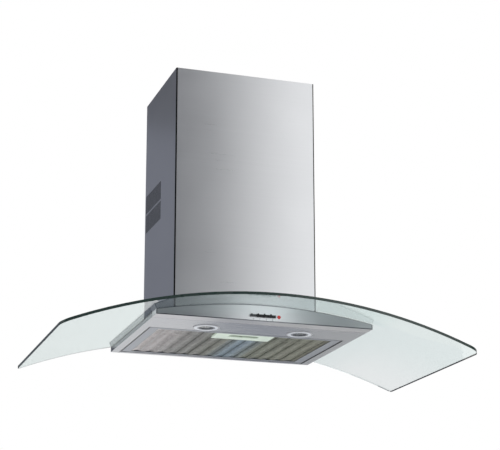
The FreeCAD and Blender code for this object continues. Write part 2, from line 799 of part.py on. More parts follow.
def blower_box():
    """The steel box over the canopy that holds the blower. Its back hangs on the wall by four screws."""
    body = new_body("blower_box")
    sketch = new_sketch(body, "XZ")
    foot = arch(HALF_BOX, PLATE_TOP)
    outline(
        sketch,
        [
            (f"-1 * {HALF_BOX}", foot), (HALF_BOX, foot),
            (HALF_BOX, "dims.box_top"), (f"-1 * {HALF_BOX}", "dims.box_top"),
        ],
        {0: f"-1 * (dims.arch_radius - ({PLATE_TOP}))"},
    )
    pad(body, sketch, "dims.box_depth")
    inside = new_sketch(body, "XY", "0")
    half = f"{HALF_BOX} - dims.steel"
    rectangle(inside, f"-1 * ({half})", "-1 * (dims.box_depth - dims.steel)", half, "-1 * dims.steel")
    cut(body, inside, "dims.box_top - dims.steel")
    top = new_sketch(body, "XY", "dims.box_top - dims.steel * 2")
    circle(top, "0", f"-1 * {OUTLET_Y}", "dims.collar_radius - dims.collar_wall - dims.ledge_width")
    circle(top, GLAND_X, "-1 * dims.gland_from_wall", "dims.gland_radius")
    cut(body, top, "dims.steel * 3")
    wall = new_sketch(body, "XZ", "-1 * dims.steel")
    for across in (-1, 1):
        for up in (-1, 1):
            circle(
                wall, f"{across} * dims.fixing_spacing_x / 2",
                f"dims.fixing_height + {up} * dims.fixing_spacing_z / 2", "dims.fixing_hole")
    cut(body, wall, "dims.steel * 3")


def spiral(sketch, wall):
    """The scroll's outline across its axis: three growing quarter turns, then straight up to the outlet."""
    y = "(-1 * dims.axis_from_wall)"
    z = "dims.axis_height"
    start = "(dims.impeller_radius + dims.scroll_tongue_gap)"
    radii = [f"({start} + dims.scroll_growth * {i} + {wall})" for i in (0.5, 1.25, 2)]
    front_z = f"({z} + {start} + {wall} - {radii[0]})"
    low_y = f"({y} - {radii[0]} + {radii[1]})"
    low_z = f"({front_z} - {radii[1]})"
    rear_y = f"({low_y} + {radii[2]})"
    rear_z = f"({low_z} + {radii[2]})"
    top = f"(dims.box_top - dims.steel + ({wall} - dims.scroll_wall))"
    outline(
        sketch,
        [
            (y, f"{z} + {start} + {wall}"),
            (f"{y} - {radii[0]}", front_z),
            (low_y, low_z),
            (rear_y, rear_z),
            (rear_y, top),
            (y, top),
        ],
        {0: radii[0], 1: radii[1], 2: radii[2]},
    )


def scroll_half(side, sign):
    """Half of the blower's spiral housing, with the round inlet in its side."""
    body = new_body(f"scroll_{side}")
    width = "(dims.impeller_width / 2 + dims.scroll_side_gap + dims.scroll_wall)"
    far = "0" if sign > 0 else f"-1 * {width}"
    outer = new_sketch(body, "YZ", far)
    spiral(outer, "dims.scroll_wall")
    pad(body, outer, width)
    inner = new_sketch(body, "YZ", "0" if sign > 0 else f"-1 * ({width} - dims.scroll_wall)")
    spiral(inner, "0")
    cut(body, inner, f"{width} - dims.scroll_wall")
    inlet = new_sketch(body, "YZ", far)
    circle(inlet, "-1 * dims.axis_from_wall", "dims.axis_height", "dims.inlet_radius")
    cut(body, inlet, width)
    mouth = new_sketch(body, "XY", "dims.box_top - dims.steel - dims.scroll_wall * 2")
    reach = f"({width} - dims.scroll_wall)"
    left, right = ("-1 * dims.seam", reach) if sign > 0 else (f"-1 * {reach}", "dims.seam")
    rectangle(
        mouth, left, f"-1 * dims.axis_from_wall + dims.scroll_wall", right,
        f"-2 * {OUTLET_Y} + dims.axis_from_wall")
    cut(body, mouth, "dims.scroll_wall * 3")


BLADES_INNER = "(dims.impeller_radius - dims.blade_depth)"  # radius of the blades' inner edges
BLADES_END = "(dims.impeller_width / 2 - dims.ring_thickness)"  # from the wheel's middle to its rings


def wheel_body(name):
    """A body drawn round its own X axis, which lies on the blower's axis."""
    body = new_body(name)
    body.setExpression(".Placement.Base.y", "-1 * dims.axis_from_wall")
    body.setExpression(".Placement.Base.z", "dims.axis_height - dims.fixing_height")
    return body


def impeller_disc():
    """The disc in the middle of the blower's wheel, with its hub on the shaft."""
    body = wheel_body("impeller_disc")
    disc = new_sketch(body, "YZ", "-1 * dims.ring_thickness / 2")
    circle(disc, "0", "0", BLADES_INNER)
    pad(body, disc, "dims.ring_thickness")
    hub = new_sketch(body, "YZ", "-1 * dims.motor_gap")
    circle(hub, "0", "0", "dims.hub_radius")
    pad(body, hub, "dims.motor_gap * 1.5")
    bore = new_sketch(body, "YZ", "-1 * dims.motor_gap")
    circle(bore, "0", "0", "dims.shaft_radius")
    cut(body, bore, "dims.motor_gap * 1.5")


def impeller_blades():
    """Straight blades round the edge of the disc, from ring to ring."""
    body = wheel_body("impeller_blades")
    blade = new_sketch(body, "YZ", f"-1 * {BLADES_END}")
    half = "dims.blade_thickness / 2"
    rectangle(blade, BLADES_INNER, f"-1 * {half}", "dims.impeller_radius", half)
    first = pad(body, blade, f"2 * {BLADES_END}")
    pattern(body, "PolarPattern", first, "X", "dims.blade_count")


def impeller_rings():
    """The ring at each end of the blades."""
    body = wheel_body("impeller_rings")
    for start in ("-1 * dims.impeller_width / 2", BLADES_END):
        ring = new_sketch(body, "YZ", start)
        circle(ring, "0", "0", "dims.impeller_radius")
        circle(ring, "0", "0", BLADES_INNER)
        pad(body, ring, "dims.ring_thickness")


MOTOR_REAR = "(dims.motor_gap + dims.motor_length)"


def motor_shaft():
    body = new_body("motor_shaft")
    sketch = new_sketch(body, "YZ", "-1 * dims.motor_gap * 2")
    circle(sketch, "-1 * dims.axis_from_wall", "dims.axis_height", "dims.shaft_radius")
    pad(body, sketch, f"{MOTOR_REAR} + dims.motor_gap * 3")


def motor():
    """The motor, inside the wheel, with a smaller bearing boss at each end."""
    body = new_body("motor")
    y = "-1 * dims.axis_from_wall"
    z = "dims.axis_height"
    case = new_sketch(body, "YZ", "dims.motor_gap + dims.arm_thickness")
    circle(case, y, z, "dims.motor_radius")
    made = pad(body, case, "dims.motor_length - dims.arm_thickness * 2")
    rims = edges_where(made, lambda e: e.BoundBox.XLength < 1e-3)
    fillet(body, made, rims, "dims.arm_thickness")
    boss = new_sketch(body, "YZ", "dims.motor_gap")
    circle(boss, y, z, "dims.motor_radius / 3")
    pad(body, boss, "dims.motor_length")
    bore = new_sketch(body, "YZ", "0")
    circle(bore, y, z, "dims.shaft_radius + dims.shaft_clearance")
    cut(body, bore, f"{MOTOR_REAR} * 2")


ARM_COUNT = 3
SCROLL_FACE = "(dims.impeller_width / 2 + dims.scroll_side_gap + dims.scroll_wall)"


def post_places():
    """Middles of the motor bracket's posts, evenly round the axis, the first straight up."""
    for number in range(ARM_COUNT):
        angle = f"({90 + number * 360 / ARM_COUNT})"
        yield number, angle, (
            f"-1 * dims.axis_from_wall + dims.post_circle * cos({angle})",
            f"dims.axis_height + dims.post_circle * sin({angle})",
        )


def motor_bracket():
    """Three arms from a disc on the motor's end, each with a post back to the scroll's side."""
    body = new_body("motor_bracket")
    y = "-1 * dims.axis_from_wall"
    z = "dims.axis_height"
    disc = new_sketch(body, "YZ", MOTOR_REAR)
    circle(disc, y, z, "dims.motor_radius * 0.7")
    pad(body, disc, "dims.arm_thickness")
    for number, angle, (post_y, post_z) in post_places():
        arm = new_sketch(body, "YZ", MOTOR_REAR)
        side = "dims.arm_width / 2"
        outline(arm, [
            (f"{y} + {side} * sin({angle})", f"{z} - {side} * cos({angle})"),
            (f"{post_y} + {side} * sin({angle})", f"{post_z} - {side} * cos({angle})"),
            (f"{post_y} - {side} * sin({angle})", f"{post_z} + {side} * cos({angle})"),
            (f"{y} - {side} * sin({angle})", f"{z} + {side} * cos({angle})"),
        ])
        pad(body, arm, "dims.arm_thickness")
        post = new_sketch(body, "YZ", f"{SCROLL_FACE} + dims.bush_length")
        circle(post, post_y, post_z, "dims.post_radius")
        pad(body, post, f"{MOTOR_REAR} - ({SCROLL_FACE} + dims.bush_length) + dims.arm_thickness / 2")
    bore = new_sketch(body, "YZ", MOTOR_REAR)
    circle(bore, y, z, "dims.shaft_radius + dims.shaft_clearance")
    cut(body, bore, "dims.arm_thickness * 2")


def motor_bushes():
    """Soft bushes between the bracket's posts and the scroll."""
    made = []
    for number, angle, (y, z) in post_places():
        made.append(cylinder(
            f"motor_bush_{number}", "X", "dims.post_radius + dims.bush_length / 2", "dims.bush_length",
            SCROLL_FACE, y, z))
    group("motor_bushes", made)


def motor_screws():
    """Screws through the bracket's disc into the motor's end, and one into each post."""
    made = []
    for number, angle, (y, z) in post_places():
        made.append(cylinder(
            f"motor_screw_{number}", "X", "dims.small_head / 2", "dims.head_thickness",
            f"{MOTOR_REAR} + dims.arm_thickness", y, z))
    group("motor_screws", made)


def capacitor():
    """The motor's capacitor, upright on the left wall of the box."""
    body = new_body("capacitor")
    sketch = new_sketch(body, "XY", "dims.capacitor_height")
    circle(
        sketch, f"-1 * ({HALF_BOX} - dims.steel - dims.clamp_thickness * 2 - dims.capacitor_radius)",
        "-1 * dims.capacitor_from_wall", "dims.capacitor_radius")
    made = pad(body, sketch, "dims.capacitor_length")
    rims = edges_where(made, lambda e: e.BoundBox.ZLength < 1e-3)
    fillet(body, made, rims, "dims.clamp_thickness")


def capacitor_clamp():
    """A band round the capacitor with a foot against the wall of the box."""
    body = new_body("capacitor_clamp")
    level = "dims.capacitor_height + (dims.capacitor_length - dims.clamp_width) / 2"
    x = f"-1 * ({HALF_BOX} - dims.steel - dims.clamp_thickness * 2 - dims.capacitor_radius)"
    y = "-1 * dims.capacitor_from_wall"
    band = new_sketch(body, "XY", level)
    circle(band, x, y, "dims.capacitor_radius + dims.clamp_thickness")
    pad(body, band, "dims.clamp_width")
    foot = new_sketch(body, "XY", level)
    wall = f"-1 * ({HALF_BOX} - dims.steel)"
    rectangle(
        foot, wall, f"{y} - dims.capacitor_radius * 1.5", f"{wall} + dims.clamp_thickness * 1.5",
        f"{y} + dims.capacitor_radius * 1.5")
    pad(body, foot, "dims.clamp_width")
    bore = new_sketch(body, "XY", level)
    circle(bore, x, y, "dims.capacitor_radius + dims.seat / 2")
    cut(body, bore, "dims.clamp_width")


def terminal_box_and_lid():
    """A plastic box on the right wall for the mains terminals, with a lid towards the middle."""
    wall = f"{HALF_BOX} - dims.steel"
    inner = f"{wall} - dims.terminal_width"
    front = "-1 * (dims.terminal_from_wall + dims.terminal_depth)"
    rear = "-1 * dims.terminal_from_wall"
    top = "dims.terminal_level + dims.terminal_height"
    body = new_body("terminal_box")
    case = new_sketch(body, "YZ", inner)
    rectangle(case, front, "dims.terminal_level", rear, top)
    pad(body, case, "dims.terminal_width")
    hollow = new_sketch(body, "YZ", inner)
    rectangle(
        hollow, f"{front} + dims.plastic", "dims.terminal_level + dims.plastic", f"{rear} - dims.plastic",
        f"{top} - dims.plastic")
    cut(body, hollow, "dims.terminal_width - dims.plastic")
    lid = new_body("terminal_lid")
    plate = new_sketch(lid, "YZ", f"{inner} - dims.lid_thickness")
    rectangle(plate, front, "dims.terminal_level", rear, top)
    pad(lid, plate, "dims.lid_thickness")


def cable_gland():
    """The gland in the top of the box where the mains cable goes in."""
    body = new_body("cable_gland")
    y = "-1 * dims.gland_from_wall"
    stem = new_sketch(body, "XY", "dims.box_top - dims.steel")
    circle(stem, GLAND_X, y, "dims.gland_radius - dims.seat")
    pad(body, stem, "dims.steel")
    nut = new_sketch(body, "XY", "dims.box_top")
    circle(nut, GLAND_X, y, "dims.gland_radius * 1.3")
    top = pad(body, nut, "dims.gland_height")
    rim = edges_where(top, lambda e: e.BoundBox.ZMin > value("dims.box_top + dims.gland_height * 0.9"))
    fillet(body, top, rim, "dims.gland_radius / 4")
    bore = new_sketch(body, "XY", "dims.box_top - dims.steel")
    circle(bore, GLAND_X, y, "dims.gland_bore")
    cut(body, bore, "dims.steel + dims.gland_height")


# ---------------------------------------------------------------- outlet

def outlet_collar():
    """The round collar that the duct slides over, with a ledge inside that the flaps rest on."""
    body = new_body("outlet_collar")
    y = f"-1 * {OUTLET_Y}"
    flange = new_sketch(body, "XY", "dims.box_top")
    circle(flange, "0", y, "dims.collar_flange")
    pad(body, flange, "dims.collar_base")
    tube = new_sketch(body, "XY", "dims.box_top")
    circle(tube, "0", y, "dims.collar_radius")
    pad(body, tube, "dims.collar_height")
    throat = new_sketch(body, "XY", "dims.box_top")
    bore = "(dims.collar_radius - dims.collar_wall)"
    circle(throat, "0", y, f"{bore} - dims.ledge_width")
    cut(body, throat, "dims.ledge_height")
    above = new_sketch(body, "XY", "dims.box_top + dims.ledge_height")
    circle(above, "0", y, bore)
    cut(body, above, "dims.collar_height")
    axle = new_sketch(body, "XZ", f"{OUTLET_Y} - dims.collar_radius")
    circle(axle, "0", FLAP_AXIS, "dims.axle_radius")
    cut(body, axle, "dims.collar_radius * 2")


FLAP_AXIS = ("(dims.box_top + dims.ledge_height + dims.flap_thickness + dims.seat"
             " + dims.axle_radius + dims.axle_clearance)")


def flap_axle():
    """The pin across the collar that both flaps turn on."""
    body = new_body("flap_axle")
    sketch = new_sketch(body, "XZ", f"{OUTLET_Y} - dims.collar_radius")
    circle(sketch, "0", FLAP_AXIS, "dims.axle_radius")
    pad(body, sketch, "dims.collar_radius * 2")


def flap(side, sign):
    """A half-round non-return flap. It lies shut by its weight and the air lifts it round the axle."""
    body = new_body(f"flap_{side}")
    radius = "(dims.collar_radius - dims.collar_wall - dims.flap_gap - dims.axle_radius)"
    barrel = "(dims.axle_radius + dims.axle_clearance + dims.knuckle_wall)"
    near = f"({barrel} + dims.flap_gap)"
    reach = f"sqrt({radius}^2 - {near}^2)"
    sketch = new_sketch(body, "XY", "dims.box_top + dims.ledge_height + dims.seat")
    outline(
        sketch,
        [
            (f"{sign} * {near}", f"-1 * {OUTLET_Y} - {sign} * {reach}"),
            (f"{sign} * {radius}", f"-1 * {OUTLET_Y}"),
            (f"{sign} * {near}", f"-1 * {OUTLET_Y} + {sign} * {reach}"),
        ],
        {0: radius, 1: radius},
    )
    pad(body, sketch, "dims.flap_thickness")
    for step in (-2, 0) if sign < 0 else (-1, 1):
        start = f"{OUTLET_Y} + ({step}) * (dims.knuckle_length + dims.flap_gap)"
        leaf = new_sketch(body, "XZ", start)
        low = "dims.box_top + dims.ledge_height + dims.seat"
        ends = ("0", f"{near} + dims.flap_gap") if sign > 0 else (f"-1 * ({near} + dims.flap_gap)", "0")
        rectangle(leaf, ends[0], low, ends[1], f"{low} + dims.flap_thickness")
        pad(body, leaf, "dims.knuckle_length")
        knuckle = new_sketch(body, "XZ", start)
        circle(knuckle, "0", FLAP_AXIS, barrel)
        pad(body, knuckle, "dims.knuckle_length")
    bore = new_sketch(body, "XZ", "0")
    circle(bore, "0", FLAP_AXIS, "dims.axle_radius + dims.axle_clearance")
    cut(body, bore, "dims.box_depth")


def collar_screws():
    """Four screws through the collar's flange into the top of the box."""
    made = []
    circle_radius = "(dims.collar_radius + dims.collar_flange) / 2"
    for number in range(4):
        angle = f"({45 + 90 * number})"
        made.append(cylinder(
            f"collar_screw_{number}", "Z", "dims.collar_screw_radius", "dims.head_thickness",
            f"{circle_radius} * cos({angle})", f"-1 * {OUTLET_Y} + {circle_radius} * sin({angle})",
            "dims.box_top + dims.collar_base"))
    group("collar_screws", made)


# ---------------------------------------------------------------- chimney

def chimney_shell(body, half, front, rear, flange, foot, top, arched):
    """A folded cover: a front, two sides and a narrow flange turned in along the wall at each side."""
    sketch = new_sketch(body, "XZ", rear)
    if arched:
        low = arch(half, "-1 * (dims.glass_thickness + dims.seat)")
        arcs = {0: "-1 * (dims.arch_radius + dims.glass_thickness + dims.seat)"}
    else:
        low = foot
        arcs = {}
    outline(sketch, [(f"-1 * ({half})", low), (half, low), (half, top), (f"-1 * ({half})", top)], arcs)
    block = pad(body, sketch, f"{front} - ({rear})")
    limit = value(f"-1 * ({front})") + 1e-3
    folds = edges_where(
        block, lambda e: e.BoundBox.YMax < limit and e.BoundBox.XLength < 1e-3 and e.BoundBox.ZLength > 1)
    fillet(body, block, folds, "dims.chimney_fold")
    inside = new_sketch(body, "XY", "0")
    inner = f"{half} - dims.chimney_steel"
    rectangle(
        inside, f"-1 * ({inner})", f"-1 * ({front} - dims.chimney_steel)", inner,
        f"-1 * ({rear} + dims.chimney_steel)")
    cut(body, inside, "dims.chimney_top * 2")
    gap = new_sketch(body, "XY", "0")
    opening = f"{half} - {flange}"
    rectangle(
        gap, f"-1 * ({opening})", f"-1 * ({rear} + dims.chimney_steel * 2)", opening,
        f"-1 * ({rear} - dims.chimney_steel)")
    cut(body, gap, "dims.chimney_top * 2")


def vents(body, rear):
    """Two rows of upright slots through both sides of a chimney cover."""
    sketch = new_sketch(body, "YZ", "-1 * dims.chimney_width")
    left = "-1 * (dims.vent_rear + dims.vent_width)"
    rectangle(sketch, left, "dims.vent_low", f"{left} + dims.vent_width", "dims.vent_low + dims.vent_height")
    slot = cut(body, sketch, "dims.chimney_width * 2")
    many = body.newObject("PartDesign::MultiTransform", body.Name + "_vents")
    many.Originals = [slot]
    rows = []
    for axis, pitch, count in (
        ("Y", "dims.vent_pitch", "dims.vent_count"), ("Z", "dims.vent_row_pitch", "2"),
    ):
        step = body.newObject("PartDesign::LinearPattern", body.Name + "_vents_" + axis)
        support = next(f for f in body.Origin.OriginFeatures if f.Role == axis + "_Axis")
        step.Direction = (support, [""])
        step.Reversed = axis == "Y"
        step.setExpression("Length", f"{pitch} * ({count} - 1)")
        step.setExpression("Occurrences", count)
        rows.append(step)
    many.Transformations = rows
    body.Tip = many
    doc.recompute()


INNER_HALF = "(dims.chimney_width / 2 - dims.chimney_steel - dims.slide_gap)"
INNER_FRONT = "(dims.chimney_depth - dims.chimney_steel - dims.slide_gap)"
INNER_REAR = "(dims.chimney_steel + dims.slide_gap)"


def chimney_cover():
    body = new_body("chimney_cover")
    half = "dims.chimney_width / 2"
    chimney_shell(body, half, "dims.chimney_depth", "0", "dims.rear_flange", "0", "dims.chimney_top", True)
    vents(body, "0")


def upper_chimney():
    """The inner cover, which pulls up out of the outer one to reach the ceiling."""
    body = new_body("upper_chimney")
    chimney_shell(
        body, INNER_HALF, INNER_FRONT, INNER_REAR, "dims.rear_flange", "dims.upper_foot",
        "dims.chimney_top - dims.upper_inset", False)
    vents(body, INNER_REAR)


def upper_bracket():
    """The strip on the wall that holds the upper cover, joggled forward over the cover's rear flanges."""
    body = new_body("upper_bracket")
    sketch = new_sketch(body, "XY", "dims.bracket_level")
    thick = "dims.steel"
    ahead = f"({INNER_REAR} + dims.chimney_steel + dims.slide_gap / 2)"
    end = f"({INNER_HALF} - dims.chimney_steel - dims.slide_gap)"
    bend = "(dims.chimney_width / 2 - dims.bracket_joggle)"
    past = f"({bend} + {ahead})"
    outline(sketch, [
        (f"-1 * {end}", f"-1 * {ahead}"), (f"-1 * {end}", f"-1 * ({ahead} + {thick})"),
        (f"-1 * {past}", f"-1 * ({ahead} + {thick})"), (f"-1 * {bend}", f"-1 * {thick}"),
        (bend, f"-1 * {thick}"), (past, f"-1 * ({ahead} + {thick})"),
        (end, f"-1 * ({ahead} + {thick})"), (end, f"-1 * {ahead}"),
        (f"{past} + {thick}", f"-1 * {ahead}"), (f"{bend} + {thick}", "0"),
        (f"-1 * ({bend} + {thick})", "0"), (f"-1 * ({past} + {thick})", f"-1 * {ahead}"),
    ])
    pad(body, sketch, "dims.bracket_height")
    holes = new_sketch(body, "XZ", "-1 * dims.steel")
    middle = "dims.bracket_level + dims.bracket_height / 2"
    for sign in (-1, 1):
        circle(holes, f"{sign} * dims.bracket_hole_x", middle, "dims.bracket_hole")
    cut(body, holes, "dims.steel * 3")


FLANGE_MIDDLE = "(dims.chimney_width / 2 - dims.rear_flange / 2)"


def upper_screws():
    """Screws that fix the upper cover's flanges to its bracket."""
    made = []
    front = f"({INNER_REAR} + dims.chimney_steel + dims.slide_gap / 2 + dims.steel)"
    for number, sign in enumerate((-1, 1)):
        made.append(cylinder(
            f"upper_screw_{number}", "Y", "dims.small_head", "dims.head_thickness",
            f"{sign} * ({FLANGE_MIDDLE} - dims.chimney_steel)", f"-1 * ({front} + dims.head_thickness)",
            "dims.bracket_level + dims.bracket_height / 2"))
    group("upper_screws", made)


def cover_brackets_and_screws():
    """Small angles from the blower box to the lower cover's flanges, each with its screw."""
    brackets = []
    screws = []
    front = "(dims.chimney_steel + dims.slide_gap / 2)"
    for name, sign in (("left", -1), ("right", 1)):
        start = HALF_BOX if sign > 0 else f"-1 * ({HALF_BOX} + dims.steel)"
        leg = box(
            f"cover_leg_{name}", ("dims.steel", "dims.ear_height", "dims.ear_height"),
            (start, f"-1 * ({front} + dims.ear_height)", "dims.ear_level"))
        length = f"(dims.chimney_width / 2 - dims.chimney_steel * 2 - {HALF_BOX})"
        start = HALF_BOX if sign > 0 else f"-1 * ({HALF_BOX} + {length})"
        ear = box(
            f"cover_ear_{name}", (length, "dims.steel", "dims.ear_height"),
            (start, f"-1 * ({front} + dims.steel)", "dims.ear_level"))
        brackets.append(boolean("Fuse", f"cover_bracket_{name}", leg, ear))
        screws.append(cylinder(
            f"cover_screw_{name}", "Y", "dims.small_head", "dims.head_thickness", f"{sign} * {FLANGE_MIDDLE}",
            f"-1 * ({front} + dims.steel + dims.head_thickness)", "dims.ear_level + dims.ear_height / 2"))
    group("cover_brackets", brackets)
    group("cover_screws", screws)


# ---------------------------------------------------------------- grease filter

FILTER_HALF = "(dims.recess_width / 2 - dims.filter_side_gap)"
FILTER_FRONT = "(dims.recess_front - dims.filter_front_gap)"  # from the wall
FILTER_REAR = "(dims.recess_rear + dims.filter_rear_gap)"
FILTER_TOP = "(dims.filter_recess + dims.filter_thickness)"


def filter_frame():
    """The filter's aluminium frame: channels round the mesh and two tabs that hook over the canopy behind."""
    body = new_body("filter_frame")
    block = new_sketch(body, "XY", "dims.filter_recess")
    rectangle(block, f"-1 * {FILTER_HALF}", f"-1 * {FILTER_FRONT}", FILTER_HALF, f"-1 * {FILTER_REAR}")
    pad(body, block, "dims.filter_thickness")
    window = new_sketch(body, "XY", "0")
    side = f"({FILTER_HALF} - dims.filter_rail)"
    front = f"({FILTER_FRONT} - dims.filter_front_rail)"
    rear = f"({FILTER_REAR} + dims.filter_rear_rail)"
    rectangle(window, f"-1 * {side}", f"-1 * {front}", side, f"-1 * {rear}")
    cut(body, window, f"{FILTER_TOP} * 2")
    channel = new_sketch(body, "XY", "dims.filter_recess + dims.filter_sheet")
    wall = "dims.filter_sheet"
    rectangle(
        channel, f"-1 * ({FILTER_HALF} - {wall})", f"-1 * ({FILTER_FRONT} - {wall})", f"{FILTER_HALF} - {wall}",
        f"-1 * ({FILTER_REAR} + {wall})")
    cut(body, channel, f"dims.filter_thickness - {wall} * 2")
    tabs = new_sketch(body, "XY", "dims.steel * 2")
    for sign in (-1, 1):
        middle = f"{sign} * dims.tab_spread / 2"
        rectangle(
            tabs, f"{middle} - dims.tab_width / 2", f"-1 * ({FILTER_REAR} + {wall} / 2)",
            f"{middle} + dims.tab_width / 2", f"-1 * ({FILTER_REAR} - dims.tab_reach)")
    pad(body, tabs, "dims.tab_thickness")
    latch_window(body, f"({FILTER_FRONT} - dims.filter_sheet * 2)", f"({FILTER_FRONT} + dims.filter_sheet)")


def ribbed_mesh(name, level):
    """A layer of expanded mesh pressed into ribs that run front to back, held in the frame's channels."""
    body = new_body(name)
    rear = f"({FILTER_REAR} + dims.filter_sheet + dims.mesh_gap)"
    length = f"({FILTER_FRONT} - dims.filter_sheet - dims.mesh_gap - {rear})"
    half = f"({FILTER_HALF} - dims.filter_sheet - dims.mesh_gap)"
    ribs = "(dims.rib_count * dims.rib_pitch / 2)"
    rib = new_sketch(body, "XZ", rear)
    steps = [
        ("0", "0"), ("dims.rib_flat / 2", "0"), ("dims.rib_flat / 2 + dims.rib_slope", "dims.rib_height"),
        ("dims.rib_pitch - dims.rib_flat / 2 - dims.rib_slope", "dims.rib_height"),
        ("dims.rib_pitch - dims.rib_flat / 2", "0"), ("dims.rib_pitch", "0"),
    ]
    lower = [(f"{a} - {ribs}", f"{level} + {b}") for a, b in steps]
    upper = [(a, f"{b} + dims.mesh_sheet") for a, b in reversed(lower)]
    outline(rib, lower + upper)
    first = pad(body, rib, length)
    pattern(body, "LinearPattern", first, "X", "dims.rib_count", "dims.rib_pitch * (dims.rib_count - 1)")
    edges = new_sketch(body, "XZ", rear)
    rectangle(edges, f"-1 * {half}", level, f"-1 * {ribs}", f"{level} + dims.mesh_sheet")
    rectangle(edges, ribs, level, half, f"{level} + dims.mesh_sheet")
    pad(body, edges, length)
    space = new_sketch(body, "XY", "0")
    side = "(dims.handle_width / 2 - dims.handle_sheet)"
    rectangle(
        space, f"-1 * {side}", f"-1 * ({FILTER_FRONT} + dims.filter_front_gap)", side,
        f"-1 * ({HANDLE_REAR} + dims.handle_sheet)")
    cut(body, space, f"{FILTER_TOP} * 2")


HANDLE_FRONT = "(dims.recess_front - dims.filter_front_gap - dims.filter_front_rail)"
HANDLE_REAR = f"({HANDLE_FRONT} - dims.handle_depth)"
SLOT_MIDDLE = f"({HANDLE_REAR} + dims.handle_depth * 0.62)"


def handle_plate():
    """A plastic plate at the front of the filter, with a slot for the fingers and walls up to the frame."""
    body = new_body("handle_plate")
    half = "(dims.handle_width / 2)"
    base = "(dims.filter_recess + dims.filter_sheet)"
    plate = new_sketch(body, "XY", "dims.filter_recess")
    rectangle(
        plate, f"-1 * {half}", f"-1 * ({HANDLE_FRONT} - dims.seat)", half, f"-1 * {HANDLE_REAR}")
    pad(body, plate, "dims.handle_sheet")
    wall = "dims.handle_sheet"
    sides = new_sketch(body, "XY", base)
    inner = f"({half} - {wall} - dims.mesh_gap)"
    rectangle(
        sides, f"-1 * {inner}", f"-1 * ({HANDLE_FRONT} - dims.seat)", inner,
        f"-1 * ({HANDLE_REAR} + {wall} + dims.mesh_gap)")
    rectangle(
        sides, f"-1 * ({inner} - {wall})", f"-1 * ({HANDLE_FRONT} - dims.seat - {wall})", f"{inner} - {wall}",
        f"-1 * ({HANDLE_REAR} + {wall} * 2 + dims.mesh_gap)")
    pad(body, sides, "dims.filter_thickness - dims.filter_sheet * 2")
    slot = new_sketch(body, "XY", "0")
    end = "(dims.slot_width / 2)"
    flat = f"(dims.slot_length / 2 - {end})"
    outline(
        slot,
        [
            (f"-1 * {flat}", f"-1 * ({SLOT_MIDDLE} + {end})"), (flat, f"-1 * ({SLOT_MIDDLE} + {end})"),
            (f"{flat} + {end}", f"-1 * {SLOT_MIDDLE}"), (flat, f"-1 * ({SLOT_MIDDLE} - {end})"),
            (f"-1 * {flat}", f"-1 * ({SLOT_MIDDLE} - {end})"), (f"-1 * ({flat} + {end})", f"-1 * {SLOT_MIDDLE}"),
        ],
        {1: end, 2: end, 4: end, 5: end},
    )
    cut(body, slot, "dims.filter_recess + dims.handle_sheet + dims.seat")
    latch_window(body, f"({HANDLE_FRONT} - {wall} * 2)", f"({HANDLE_FRONT} + {wall})")


LATCH_LEVEL = "(dims.filter_recess + dims.handle_sheet + dims.mesh_gap)"


def latch_window(body, inner, outer):
    """A slot that the latch slides through, in the walls between two distances from the hood's wall."""
    sketch = new_sketch(body, "XZ", inner)
    half = "(dims.latch_width / 2 + dims.mesh_gap * 2)"
    rectangle(
        sketch, f"-1 * {half}", f"{LATCH_LEVEL} - dims.mesh_gap", half,
        f"{LATCH_LEVEL} + dims.latch_thickness + dims.mesh_gap * 2")
    cut(body, sketch, f"{outer} - {inner}")


LIP_FRONT = f"({SLOT_MIDDLE} + dims.slot_width / 2 - dims.latch_travel / 2)"


def filter_latch():
    """The sliding latch: a tongue over the canopy's front lip and a finger lip in the handle's slot."""
    body = new_body("filter_latch")
    half = "dims.latch_width / 2"
    tongue = new_sketch(body, "XY", LATCH_LEVEL)
    rectangle(
        tongue, f"-1 * {half}", "-1 * (dims.recess_front + dims.latch_reach)", half,
        f"-1 * ({LIP_FRONT} - dims.latch_lip)")
    pad(body, tongue, "dims.latch_thickness")
    lip = new_sketch(body, "XY", LATCH_LEVEL)
    rectangle(lip, f"-1 * {half}", f"-1 * {LIP_FRONT}", half, f"-1 * ({LIP_FRONT} - dims.latch_lip)")
    pad(body, lip, "dims.latch_thickness + dims.pocket_depth / 2")


def latch_spring():
    """The coil spring between the latch's lip and the rear wall of the handle."""
    start = value(f"{LIP_FRONT} - dims.latch_lip")
    end = value(f"{HANDLE_REAR} + dims.handle_sheet * 2 + dims.mesh_gap")
    wire = value("dims.spring_wire")
    coil = value("dims.spring_radius")
    length = start - end - 2 * wire - 2 * value("dims.seat")
    helix = Part.makeHelix(length / value("dims.spring_turns"), length, coil)
    section = Part.Wire(Part.makeCircle(wire, FreeCAD.Vector(coil, 0, 0), FreeCAD.Vector(0, 1, 0)))
    made = node("Part::Feature", "latch_spring")
    made.Shape = Part.Wire(helix).makePipeShell([section], True, True)
    height = value(f"{LATCH_LEVEL} + dims.latch_thickness + dims.mesh_gap") + coil + wire
    turn = FreeCAD.Rotation(FreeCAD.Vector(1, 0, 0), -90)
    place = FreeCAD.Vector(0, -start + wire + value("dims.seat"), height)
    made.Placement = FreeCAD.Placement(place, turn)
    made.setExpression(".Placement.Base.z", f"{height} - dims.fixing_height")


def handle_rivets():
    """Two small rivets between the handle plate and the frame's front rail."""
    made = []
    for number, sign in enumerate((-1, 1)):
        made.append(cylinder(
            f"handle_rivet_{number}", "Z", "dims.rivet_radius", "dims.filter_recess / 2",
            f"{sign} * dims.rivet_x", f"-1 * ({HANDLE_FRONT} + dims.rivet_radius * 1.5)",
            "dims.filter_recess / 2"))
    group("handle_rivets", made)


# ---------------------------------------------------------------- the hood

glass_canopy()
glass_gasket()
canopy_tray()
top_plate()
front_fascia()
glass_screws_and_washers()

